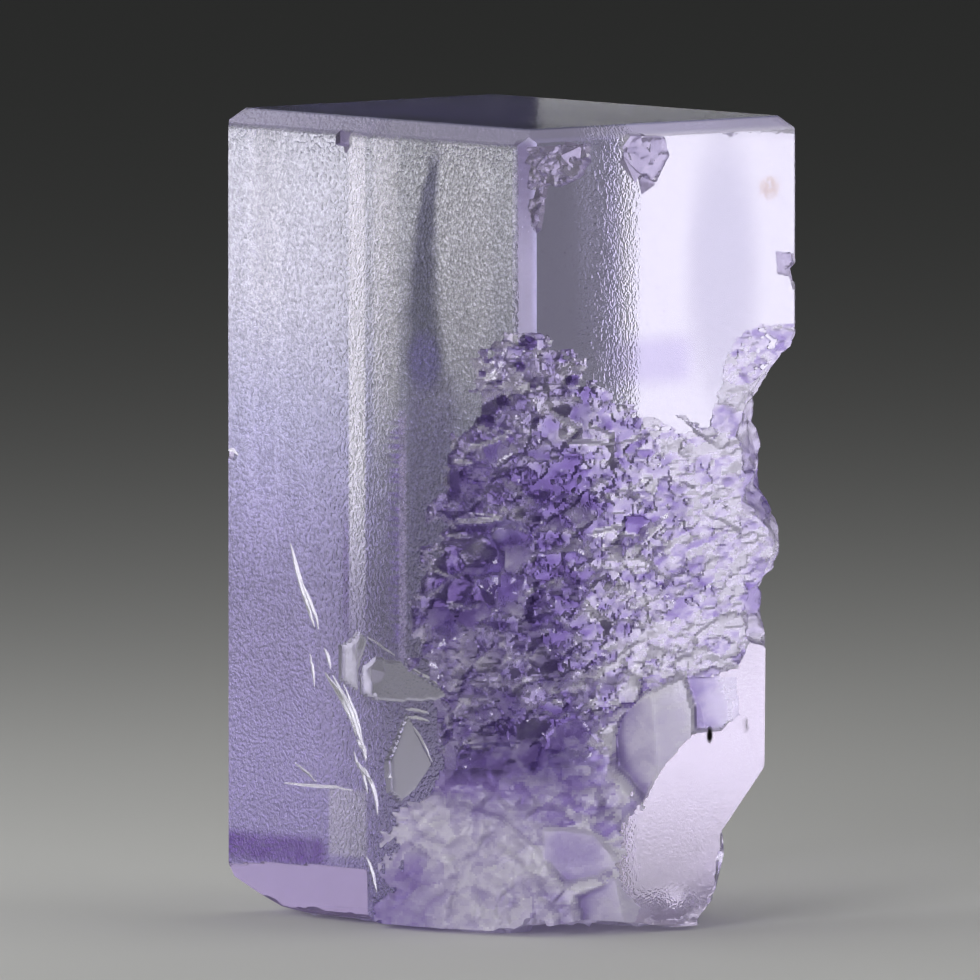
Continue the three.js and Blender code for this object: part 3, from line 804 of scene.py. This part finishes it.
def crack(line, deep):
    """A thin slot along a line on the long face, tapering to its ends, with a clear strip beside it."""
    line = np.array(line)
    run = np.concatenate([[0], np.cumsum(np.linalg.norm(np.diff(line, axis=0), axis=1))])
    stops = np.linspace(0, run[-1], CRACK_STEPS)
    spine = np.stack([np.interp(stops, run, line[:, k]) for k in (0, 1)], -1)
    ahead = np.gradient(spine, axis=0)
    beside = np.stack([ahead[:, 1], -ahead[:, 0]], -1) / np.linalg.norm(ahead, axis=1)[:, None]
    beside *= 1 if beside[:, 0].sum() > 0 else -1
    swell = np.sin(np.linspace(TIP, math.pi - TIP, CRACK_STEPS))
    stray = CRACK_STRAY * random.uniform(-1, 1, CRACK_STEPS)
    points = []
    for (x, z), (bx, bz), full, off in zip(spine, beside, swell, stray):
        depth, half = SHALLOW * deep * full, CRACK_WIDTH / 2 * (0.4 + 0.6 * full)
        strip = half + 0.02 + GLIMPSE * depth
        section = [
            (-half, OUT), (-half, depth), (half, depth), (half, SHELF), (strip, SHELF), (strip, OUT),
        ]
        points += [(x + bx * (off + s), -HALF_D + y, z + bz * (off + s)) for s, y in section]
    count = len(section)
    faces = [tuple(range(count)), tuple(len(points) - count + k for k in reversed(range(count)))]
    for start in range(0, len(points) - count, count):
        for k in range(count):
            following = (k + 1) % count
            faces.append((start + k, start + count + k, start + count + following, start + following))
    piece = mesh_object("crack", points, faces, CRACKED)
    form = bmesh.new()
    form.from_mesh(piece.data)
    bmesh.ops.triangulate(form, faces=form.faces)
    bmesh.ops.recalc_face_normals(form, faces=form.faces)
    form.to_mesh(piece.data)
    form.free()
    return piece


for line, deep in CRACKS:
    cut(crystal, crack(line, deep))
print("after the cracks", len(crystal.data.polygons))

# %% [markdown]
# ## The rough base
#
# The crystal was broken off its matrix. It stands on four small flat patches, and between them the
# underside is let in and chipped. Its bottom edge is ragged, and highest at the left corner.

# %% Base
BASE_PITCH = 0.16
PADS = [(5.2, -5.4), (-8.2, 6.4), (-8.6, -2.4), (6.0, 2.6)]  # places it stands on
PAD_RADIUS = 1.7
FRONT_FOOT = np.array([
    (-12.5, 2.6), (-11.45, 2.15), (-10.0, 1.5), (-8.6, 1.0), (-6.2, 0.75), (-2.6, 0.7), (-0.5, 0.85),
    (0.2, 0.45), (1.2, 0.3), (2.0, -0.2),
])
CORNER_FOOT = np.array([
    (-0.9, -0.3), (-0.5, 0.5), (0.8, 0.8), (1.8, 0.8), (3.6, 1.15), (6.4, 0.95), (8.2, 0.7), (10.5, 0.9),
])
FOOT_SLOPE, CORNER_SLOPE = math.tan(math.radians(17)), math.tan(math.radians(4))
CORNER_START, CORNER_RUN = 15.5, 12.2  # where the corner's chip starts, towards the eye, and its length
BASE_EDGE = 1.6  # chips keep this far from the front and right edges, which have their own outline
UNDERCUT = 0.22  # how far the underside is let in between the patches
BASE_SKIN = 0.02  # the least that is lost between the patches
PAD_CLEAR = 0.3  # under the patches the map lies this far below the base
BASE_OUTER = 3.0
base_us = np.arange(-HALF_D - 0.5, HALF_D + 0.5, BASE_PITCH)  # along Y, so that the map faces down
base_vs = np.arange(-HALF_W - 0.5, HALF_W + 0.5, BASE_PITCH)
base_y, base_x = np.meshgrid(base_us, base_vs, indexing="ij")
loss = np.interp(base_x, *FRONT_FOOT.T, right=-1) - (base_y + HALF_D + 0.5) * FOOT_SLOPE
sideways = base_x * across_x + base_y * across_y
ahead = base_y * across_x - base_x * across_y + CORNER_START
corner = np.interp(sideways, *CORNER_FOOT.T, left=-1, right=-1) - ahead * CORNER_SLOPE
loss = np.maximum(loss, np.where(ahead < CORNER_RUN, corner, -1))
loss = np.maximum(loss, UNDERCUT)
on_pad = np.zeros(loss.shape, bool)
for x, y in PADS:
    on_pad |= np.hypot(base_x - x, base_y - y) < PAD_RADIUS
base_depth = np.where(on_pad, PAD_CLEAR, -loss)
rough_base = ~on_pad & (base_y > BASE_EDGE - HALF_D) & (base_x < HALF_W - BASE_EDGE)
base_relief = 0.3 * crumpled(base_us, base_vs, SPLINTERS[:3])[0]
base_depth = np.where(rough_base, base_depth + base_relief - LET_IN, base_depth)
base_depth = np.where(on_pad, PAD_CLEAR, np.minimum(blur(base_depth, 0.5), -BASE_SKIN))


def place_base(u, v, d):
    """From the map to the crystal: its depth runs down."""
    return np.stack([v, u, -d], -1).reshape(-1, 3)


cut(crystal, map_cutter("base", base_us, base_vs, base_depth, place_base, BASE_OUTER))
print("after the base", len(crystal.data.polygons))

# %% [markdown]
# ## Clean-up and shading
#
# The cuts leave a few crumbs that hang free, and a real crystal has none. Whole faces are shaded flat,
# because each is one plane. The break is shaded smooth up to a crease angle, so splinters keep crisp
# edges and their faces stay even.

# %% Drop loose crumbs
def largest_body(piece):
    """Keeps the largest of the separate bodies in a mesh."""
    form = bmesh.new()
    form.from_mesh(piece.data)
    form.verts.ensure_lookup_table()
    seen, bodies = set(), []
    for start in form.verts:
        if start.index in seen:
            continue
        seen.add(start.index)
        body, queue = [start], [start]
        while queue:
            for edge in queue.pop().link_edges:
                for vert in edge.verts:
                    if vert.index not in seen:
                        seen.add(vert.index)
                        body.append(vert)
                        queue.append(vert)
        bodies.append(body)
    bodies.sort(key=len)
    loose = [v for body in bodies[:-1] for v in body]
    bmesh.ops.delete(form, geom=loose, context="VERTS")
    bmesh.ops.dissolve_degenerate(form, edges=form.edges, dist=1e-7)
    form.to_mesh(piece.data)
    form.free()
    return len(bodies)


print("bodies", largest_body(crystal))
print("triangles", sum(len(face.vertices) - 2 for face in crystal.data.polygons))

# %% Shade flat faces flat
CREASE = math.radians(20)
crystal.data.shade_smooth()
crystal.data.set_sharp_from_angle(angle=CREASE)
finishes = np.empty(len(crystal.data.polygons), "f")
crystal.data.attributes["finish"].data.foreach_get("value", finishes)
crystal.data.polygons.foreach_set("use_smooth", np.round(finishes) != WHOLE)
print("polygons of each finish", np.bincount(np.round(finishes).astype(int), minlength=5))

# %% [markdown]
# ## Shader maths
#
# A material is easier to read as sums than as a web of nodes. A small class wraps one output of a node,
# and adding or multiplying two of these adds the Math node that does it. Colours go through Mix nodes
# instead, because a Math node turns a colour grey.

# %% Arithmetic on node outputs
class Value:
    """One output in a material. Arithmetic on it adds Math nodes."""

    def __init__(self, shader, socket):
        self.shader, self.socket = shader, socket

    def math(self, operation, *others, swap=False):
        """A Math node on this output and others, turned round for the reflected operators."""
        terms = [self, *others]
        if swap:
            terms.reverse()
        return self.shader.node("ShaderNodeMath", {"operation": operation}, dict(enumerate(terms)))

    def __add__(self, other):
        return self.math("ADD", other)

    def __sub__(self, other):
        return self.math("SUBTRACT", other)

    def __rsub__(self, other):
        return self.math("SUBTRACT", other, swap=True)

    def __mul__(self, other):
        return self.math("MULTIPLY", other)

    def __truediv__(self, other):
        return self.math("DIVIDE", other)

    __radd__, __rmul__ = __add__, __mul__

    def ease(self, start, end):
        """0 below start, 1 above end (or the other way round), smooth between."""
        settings = {"interpolation_type": "SMOOTHSTEP"}
        bounds = {"Value": self, "From Min": start, "From Max": end}
        return self.shader.node("ShaderNodeMapRange", settings, bounds)


# %% A material's nodes
class Shader:
    """A material's node tree, with one way to add a node."""

    def __init__(self, name):
        self.material = bpy.data.materials.new(name)
        self.material.use_nodes = True
        self.tree = self.material.node_tree
        self.tree.nodes.clear()

    def node(self, kind, settings=None, inputs=None, output=0):
        """Adds a node: its type, its settings, and the values or links of its sockets."""
        node = self.tree.nodes.new(kind)
        for name, value in (settings or {}).items():
            if name == "stops":
                ramp = node.color_ramp
                while len(ramp.elements) < len(value):
                    ramp.elements.new(1.0)
                for element, (place, colour) in zip(ramp.elements, value):
                    element.position, element.color = place, (*colour, 1)
            else:
                setattr(node, name, value)
        for name, value in (inputs or {}).items():
            if isinstance(value, Value):
                self.tree.links.new(value.socket, node.inputs[name])
            else:
                node.inputs[name].default_value = value
        return Value(self, node.outputs[output])

    def mix(self, share, first, second, blend="MIX"):
        """Two colours mixed by a share, or blended."""
        first, second = ((*c, 1) if isinstance(c, tuple) else c for c in (first, second))
        settings = {"data_type": "RGBA", "blend_type": blend}
        return self.node("ShaderNodeMix", settings, {0: share, 6: first, 7: second}, 2)

    def noise(self, place, scale, detail, roughness=0.5):
        """Noise from 0 to 1, with its scale counted in blobs for each mm."""
        inputs = {"Vector": place, "Scale": scale, "Detail": detail, "Roughness": roughness}
        return self.node("ShaderNodeTexNoise", {}, inputs)

    def finish(self, **outputs):
        """Links the material's outputs, Surface and Volume, and gives the material."""
        node = self.tree.nodes.new("ShaderNodeOutputMaterial")
        for name, value in outputs.items():
            self.tree.links.new(value.socket, node.inputs[name])
        return self.material


# %% [markdown]
# ## Fluorite
#
# Clear fluorite bends light less than glass, with an index of 1.434. A thin even lavender comes from
# plain absorption through its depth. The rest of its purple lies in zones. On the whole faces they are
# soft shapes placed across and up, in millimetres, and on the break they are the numbers that its faces
# keep. Each colour here is what light keeps on crossing the surface once. A real zone lies inside the
# stone, but a stained surface renders quickly, stays sharp and exports well.
# On the break those numbers also hold painted shade and painted highlights of its relief.

# %% Where things lie in the crystal
def ease_out(distance, inner, outer):
    """1 up to the inner distance, 0 from the outer one."""
    return distance.ease(outer, inner)


def blob(side, z, centre, radii):
    """A soft oval zone, seen from the front: 1 at its centre, 0 outside."""
    u, v = (side - centre[0]) / radii[0], (z - centre[1]) / radii[1]
    return ease_out(u * u + v * v, 0.15, 1.25)


def stripe(x, centre, half, soft):
    """A soft upright stripe about a line across the long face."""
    return ease_out((x - centre).math("ABSOLUTE"), half, half + soft)


def between(z, low, high, soft):
    """1 between two heights, with soft ends."""
    return z.ease(low - soft, low + soft) * z.ease(high + soft, high - soft)


# %% Colours of the break, from pale to deep purple
BREAK_COLOURS = [
    (0.0, (0.97, 0.95, 1.0)), (0.23, (0.85, 0.80, 0.94)), (0.46, (0.60, 0.53, 0.77)),
    (0.77, (0.42, 0.32, 0.67)), (1.0, (0.30, 0.21, 0.52)),
]
DEEPEST = 1.3  # the purple at the end of the ramp
print("break colours", len(BREAK_COLOURS))

# %% [markdown]
# ## The long face
#
# From its top down this face fades from silvery to purple. Upright veils inside it show as bands: one
# smoky with a blue knot, and a comb of thin lilac lines. Beside them a bright band is painted light: a
# clear white stripe where light mirrored inside comes out. They end on the cracks. A dark purple line
# crosses its foot, and a stripe near the left edge is painted lighter, as painted light too. Each is a soft
# mask, and the masks mix their colours in one by one.

# %% Colour of the long face
# From the top down: height, and the colour there.
LONG_FACE = [
    (40.0, (0.82, 0.84, 0.84)), (31.0, (0.78, 0.79, 0.83)), (25.0, (0.61, 0.61, 0.75)),
    (20.0, (0.50, 0.47, 0.67)), (16.7, (0.40, 0.365, 0.55)), (12.7, (0.43, 0.385, 0.59)),
    (8.0, (0.49, 0.44, 0.68)), (0.0, (0.48, 0.42, 0.68)),
]
WHITE = (1.0, 1.0, 1.0)
PAINTED_BRIGHT_BAND = (-1.2, 0.5, 0.25)  # centre, half width and softness of an upright band of painted light, where light mirrored inside comes out
BAND_EDGE = (-2.05, 0.08, 0.28)  # a dark line at its left
PALE_BANDS = ((1.0, 0.7, 0.5), (6.9, 1.5, 1.2))
# A stripe of painted light near the left edge: centre, half width and softness.
PAINTED_LIGHT_BAND = (-8.2, 0.8, 1.1)
LILAC_LINE = (2.27, 0.18, 0.22)
VEIL_FOOT = 14.4  # the bands end here, on the cracks
SMOKE = (3.8, 31.5, 0.02)  # a smoky veil: its place across, height of its bend, and how far it bends
KNOT = ((3.9, 28.2), (1.4, 1.7))  # centre and radii


# %% Veils and lines in the long face
def long_face_bands(shader, colour, x, z, wisp):
    """The smoky veil and the painted bright band in the upper part of the long face, and the mask of that
    band.
    """
    upper = z.ease(VEIL_FOOT - 0.3, VEIL_FOOT + 0.5)
    # Painted light: a clear white band where light mirrored inside the crystal comes out brightly.
    band = stripe(x, *PAINTED_BRIGHT_BAND) * upper
    colour = shader.mix(band * z.ease(12.0, 24.0), colour, WHITE)
    edge = stripe(x, *BAND_EDGE) * between(z, 14.6, 19.6, 1.6)
    colour = shader.mix(edge * 0.85, colour, (0.30, 0.24, 0.46))
    middle = SMOKE[0] + SMOKE[2] * (z - SMOKE[1]) * (z - SMOKE[1]) + 0.5 * (wisp - 0.5)
    wide = 0.35 + 0.11 * (39.5 - z)
    smoke = ease_out((x - middle).math("ABSOLUTE") / wide, 0.35, 1.3) * between(z, 27.0, 38.3, 1.0)
    left, right = (stripe(x, *band_at) for band_at in PALE_BANDS)
    pale = left * z.ease(20.0, 28.0) * 0.7 + right * z.ease(24.0, 29.0) * 0.5
    colour = shader.mix(pale, colour, WHITE)
    colour = shader.mix(smoke, colour, (0.25, 0.25, 0.36))
    colour = shader.mix(blob(x, z, *KNOT) * 0.95, colour, (0.34, 0.30, 0.62))
    shade = x.ease(2.3, 3.1) * x.ease(7.2, 5.2) * z.ease(28.5, 25.5) * upper
    return shader.mix(shade * (0.45 + 0.6 * wisp), colour, (0.40, 0.36, 0.60)), band


def long_face_lines(shader, colour, x, z, place, wisp):
    """The comb of lilac lines at mid height, and the dark line with a clear pane over the foot."""
    comb = shader.node("ShaderNodeVectorMath", {"operation": "MULTIPLY"}, {0: place, 1: (0.35, 0.0, 2.6)})
    comb = shader.noise(comb, 1.6, 0.0)
    teeth = x.ease(0.7, 2.1) * x.ease(2.45, 2.2) * between(z, 14.0, 25.0, 0.8)
    colour = shader.mix(teeth * comb.ease(0.40, 0.56), colour, (0.50, 0.38, 0.84))
    line = stripe(x, *LILAC_LINE) * between(z, 13.4, 25.6, 0.5)
    colour = shader.mix(line * (0.35 + 0.9 * wisp), colour, (0.80, 0.72, 1.0))
    foot = between(z, 2.75, 4.1, 0.35) * x.ease(-3.0, -4.2)
    colour = shader.mix(foot * (0.55 + 0.6 * wisp), colour, (0.22, 0.11, 0.44))
    pane = between(z, 3.4, 6.7, 0.2) * x.ease(-3.5, -3.2) * x.ease(-0.3, -0.7)
    return shader.mix(pane * 0.75, colour, (0.72, 0.70, 0.78))


def long_face_colour(shader, x, z, place, frost):
    """The whole colour of the long face, with the grain of its frost and its painted light."""
    stops = [(h / HEIGHT, c) for h, c in reversed(LONG_FACE)]
    colour = shader.node("ShaderNodeValToRGB", {"stops": stops}, {"Fac": z / HEIGHT})
    wisp = shader.noise(place, 1.1, 1.0)
    colour, band = long_face_bands(shader, colour, x, z, wisp)
    colour = long_face_lines(shader, colour, x, z, place, wisp)
    # Painted light: a stripe near the left edge is brightened.
    painted_light = stripe(x, *PAINTED_LIGHT_BAND) * z.ease(16.0, 22.0)
    colour = shader.mix(painted_light, colour, (1.19, 1.19, 1.18), "MULTIPLY")
    grain = 0.76 + 0.35 * frost.ease(0.36, 0.62)
    # The frost grain is weaker in the painted bright band.
    return shader.mix(z.ease(5.0, 17.0) * (1 - 0.7 * band), colour, grain, "MULTIPLY")


# %% [markdown]
# ## The short face, the top and the bevels
#
# These are nearly clear, and what they show is mostly seen through them: the break, and light from the
# far side. So they need only faint tints, each in its own place: a grey cloud, a lavender belt, a warm
# rust spot, and painted shade that darkens the top. A tint over a whole face would dull all that lies behind
# it.

# %% Colour of the short face
def short_face_colour(shader, y, z, frost):
    """The short face is nearly clear, with a grey cloud, a faint belt and one warm spot."""
    colour = shader.mix(z.ease(24.0, 10.0), (0.99, 0.985, 0.998), (0.98, 0.93, 0.985))
    near = y.ease(-2.2, -3.4) * z.ease(22.0, 30.0)
    colour = shader.mix(near, colour, (0.84, 0.81, 1.0))
    grey = blob(y, z, (3.9, 32.5), (2.6, 7.5))
    colour = shader.mix(grey * 0.9, colour, (0.76, 0.75, 0.82))
    belt = between(z, 27.2, 29.4, 0.6) * y.ease(-4.5, -2.5) * y.ease(2.6, 1.0)
    colour = shader.mix(belt * 0.55, colour, (0.66, 0.60, 0.86))
    rust = blob(y, z, (6.95, 36.5), (0.75, 0.65)) * frost.ease(0.35, 0.5)
    colour = shader.mix(rust * 0.8, colour, (0.80, 0.66, 0.56))
    return shader.mix(frost.ease(0.68, 0.74) * 0.6, colour, (0.50, 0.46, 0.62))


# %% Colour of the top and the bevels
TOP_EDGE, TOP_SHADE = (HEIGHT - 1.4, HEIGHT - 1.1), (HEIGHT - 0.1, HEIGHT - 0.03)  # where each sets in: the greyer top bevels, and painted shade on the top face


def edge_colour(shader, x, y, z):
    """Clear bevels and rear faces, painted shade on the top face, and the front bevel, which darkens
    upwards.
    """
    colour = shader.mix(z.ease(*TOP_EDGE), (0.975, 0.965, 0.995), (0.76, 0.74, 0.84))
    # Painted shade: the top face is darkened, standing in for the dark studio that it mirrors.
    colour = shader.mix(z.ease(*TOP_SHADE), colour, (0.38, 0.39, 0.50))
    bevel = x.ease(HALF_W - 1.1, HALF_W - 0.9) * y.ease(1.1 - HALF_D, 0.9 - HALF_D)
    bevel_colour = shader.mix(z.ease(33.0, 38.5), (0.68, 0.65, 0.75), (0.38, 0.34, 0.47))
    return shader.mix(bevel * z.ease(39.6, 39.2), colour, bevel_colour)


# %% [markdown]
# ## One material for the whole crystal
#
# The crystal is one piece of one mineral, so it has one material. The etched frost of its whole faces is
# a bump, because its grains are finer than the mesh. Broken places are also a little cloudy, because
# splinters scatter light inside. Diffuse and Translucent shaders mixed into the clear one give that
# cloud far faster than thousands of tiny cracks would.

# %% Frost in the surface
FROST_HEIGHT = 0.1  # mm
FROST_SCALE = 4.8  # grains for each mm


def surface_height(frost, y, z, on_long, whole, broken):
    """The height of the fine relief: etched frost on whole faces, and a little on broken ones."""
    rough_belt = y.ease(-6.4, -4.0) * y.ease(-1.0, -3.0) * z.ease(18.0, 24.0)
    strength = on_long + (1 - on_long) * (0.16 + 0.42 * rough_belt)
    return FROST_HEIGHT * frost * (strength * whole + 0.2 * broken)


# %% Milky slab, black speck, and index of refraction
MILKY_SLAB = ((6.9, 9.6), (2.6, 3.4))  # centre and radii
SPECK = ((9.78, 9.58), (0.16, 0.4))  # a black grain of another mineral, by the pit: centre and radii
FLUORITE_IOR = 1.434


# %% Put the material together
def hazy(shader, haze, clear_stone, colour, bump):
    """Clear stone mixed with a cloudy one, which scatters light both back and onwards."""
    lit = shader.node("ShaderNodeBsdfDiffuse", {}, {"Color": colour, "Normal": bump})
    glowing = shader.node("ShaderNodeBsdfTranslucent", {}, {"Color": colour, "Normal": bump})
    cloudy = shader.node("ShaderNodeMixShader", {}, {0: 0.6, 1: lit, 2: glowing})
    return shader.node("ShaderNodeMixShader", {}, {0: haze, 1: clear_stone, 2: cloudy})


def fluorite_material():
    """The crystal's one material. It tells its faces apart by place, and by the marks they keep."""
    shader = Shader("fluorite")
    place = shader.node("ShaderNodeTexCoord", {}, {}, "Object")
    place = shader.node("ShaderNodeVectorMath", {"operation": "SCALE"}, {0: place, "Scale": 1 / MM})
    x, y, z = (shader.node("ShaderNodeSeparateXYZ", {}, {0: place}, axis) for axis in range(3))
    side = x * across_x + y * across_y
    finish = shader.node("ShaderNodeAttribute", {"attribute_name": "finish"}, {}, "Fac")
    purple = shader.node("ShaderNodeAttribute", {"attribute_name": "purple"}, {}, "Fac")
    whole = finish.math("LESS_THAN", 0.5)
    broken, bruised, clear, cracked = (
        finish.math("COMPARE", float(mark), 0.4) for mark in (BROKEN, BRUISED, CLEAR, CRACKED)
    )
    on_long = y.ease(-HALF_D + 0.25, -HALF_D + 0.05)
    on_short = x.ease(HALF_W - 0.25, HALF_W - 0.05)
    frost = shader.noise(place, FROST_SCALE, 1.0, 0.8)

    colour = edge_colour(shader, x, y, z)
    colour = shader.mix(on_short, colour, short_face_colour(shader, y, z, frost))
    colour = shader.mix(on_long, colour, long_face_colour(shader, x, z, place, frost))
    # The ramp shows the break's purple: its zones and random tones, with painted shade and painted
    # highlights of its relief.
    ramp = shader.node("ShaderNodeValToRGB", {"stops": BREAK_COLOURS}, {"Fac": purple / DEEPEST})
    colour = shader.mix(broken, colour, ramp)
    colour = shader.mix(bruised, colour, (0.70, 0.65, 0.79))
    pane = shader.mix(z.ease(5.0, 3.5), (0.76, 0.75, 0.82), (0.48, 0.41, 0.57))
    colour = shader.mix(clear, colour, pane)
    colour = shader.mix(cracked, colour, WHITE)
    speck = blob(side, z, *SPECK)
    colour = shader.mix(speck, colour, (0.01, 0.008, 0.008))

    height = surface_height(frost, y, z, on_long, whole, broken)
    bump = shader.node("ShaderNodeBump", {}, {"Strength": 1.0, "Distance": MM, "Height": height})
    # The shader tints each crossing by the square root of its base colour, so the colour is squared.
    squared = shader.mix(1.0, colour, colour, "MULTIPLY")
    stone = shader.node("ShaderNodeBsdfPrincipled", {}, {
        "Base Color": squared, "Roughness": 0.14 - 0.04 * broken - 0.1 * clear, "IOR": FLUORITE_IOR,
        "Transmission Weight": 0.9, "Normal": bump,
    })
    milky = z.ease(8.6, 7.0) * side.ease(9.0, 6.0) + blob(side, z, *MILKY_SLAB)
    broken_haze = 0.1 + 0.6 * milky + 0.3 * purple.ease(0.15, -0.15)
    haze = 0.03 + broken * broken_haze + 0.1 * bruised + 0.08 * clear + speck
    surface = hazy(shader, haze, stone, colour, bump)
    absorption = {"Color": (0.72, 0.66, 0.92, 1), "Density": 26.0}
    volume = shader.node("ShaderNodeVolumeAbsorption", {}, absorption)
    return shader.finish(Surface=surface, Volume=volume)


# %% Give the crystal its material
crystal.data.materials.clear()
crystal.data.materials.append(fluorite_material())
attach(crystal, "root")
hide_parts("fluorite_crystal")
print("fluorite nodes", len(crystal.data.materials[0].node_tree.nodes))

# %% [markdown]
# ## Floor and light
#
# The crystal stands on a wide pale floor that fades into a dark studio. Two large softboxes stand square
# to the line of sight, left and right. Their light enters a side face, mirrors inside, and comes out of
# the front, which is what makes a clear crystal glow. A third hangs behind and above, for the rims and
# the floor, and a far one lights the front. Two small cards low down give the clear corner and the foot
# something bright to mirror. What lies straight behind the crystal stays dim, so its middle looks clear.

# %% Floor
FLOOR_SIZE = 2500.0


def floor_material():
    """Matt, pale and plain."""
    shader = Shader("floor")
    surface = shader.node("ShaderNodeBsdfPrincipled", {}, {
        "Base Color": (0.62, 0.62, 0.6, 1), "Roughness": 0.7,
    })
    return shader.finish(Surface=surface)


corners = [(-1, -1), (1, -1), (1, 1), (-1, 1)]
floor = mesh_object("floor", [(x * FLOOR_SIZE, y * FLOOR_SIZE, 0) for x, y in corners], [(0, 1, 2, 3)])
floor.data.materials.append(floor_material())
print("floor", 2 * FLOOR_SIZE, "mm across")


# %% Lights
def softbox(name, bearing, distance, height, width, tall, power, colour=WHITE):
    """An upright area light, aimed at the crystal. The bearing is counted round from the camera."""
    light = bpy.data.lights.new(name, "AREA")
    light.shape, light.size, light.size_y = "RECTANGLE", width * MM, tall * MM
    light.energy, light.color = power, colour
    lamp = bpy.data.objects.new(name, light)
    bpy.context.collection.objects.link(lamp)
    angle = TURN - math.pi / 2 + math.radians(bearing)
    out = Vector((math.cos(angle), math.sin(angle), 0))
    spot = out * distance + Vector((0, 0, height))
    lamp.location = spot * MM
    lamp.rotation_euler = (spot - Vector((0, 0, HEIGHT / 2))).to_track_quat("Z", "Y").to_euler()
    lamp.visible_camera = False


# Name, bearing, distance, height over the floor, width and height of the box, and power in watts.
softbox("right softbox", 82, 130, 70, 150, 150, 0.09)
softbox("left softbox", -98, 130, 70, 180, 150, 0.118)
softbox("low card", -98, 45, 4, 44, 8, 0.0007)
softbox("top softbox", 180, 82, 265, 252, 252, 0.143)
softbox("front softbox", -27, 420, 80, 170, 170, 1.3)
softbox("card", 171, 55, 35, 14, 16, 0.0006, (1, 1, 0.97))

world = bpy.data.worlds.new("studio")
bpy.context.scene.world = world
world.use_nodes = True
background = world.node_tree.nodes["Background"]
background.inputs["Color"].default_value = (0.027, 0.028, 0.028, 1)
print("lights", len(bpy.data.lights))

# %% Render settings that belong to the look
scene = bpy.context.scene
scene.cycles.transmission_bounces = 9
scene.cycles.max_bounces = 9
scene.view_settings.view_transform = "Standard"
print("bounces", scene.cycles.max_bounces)
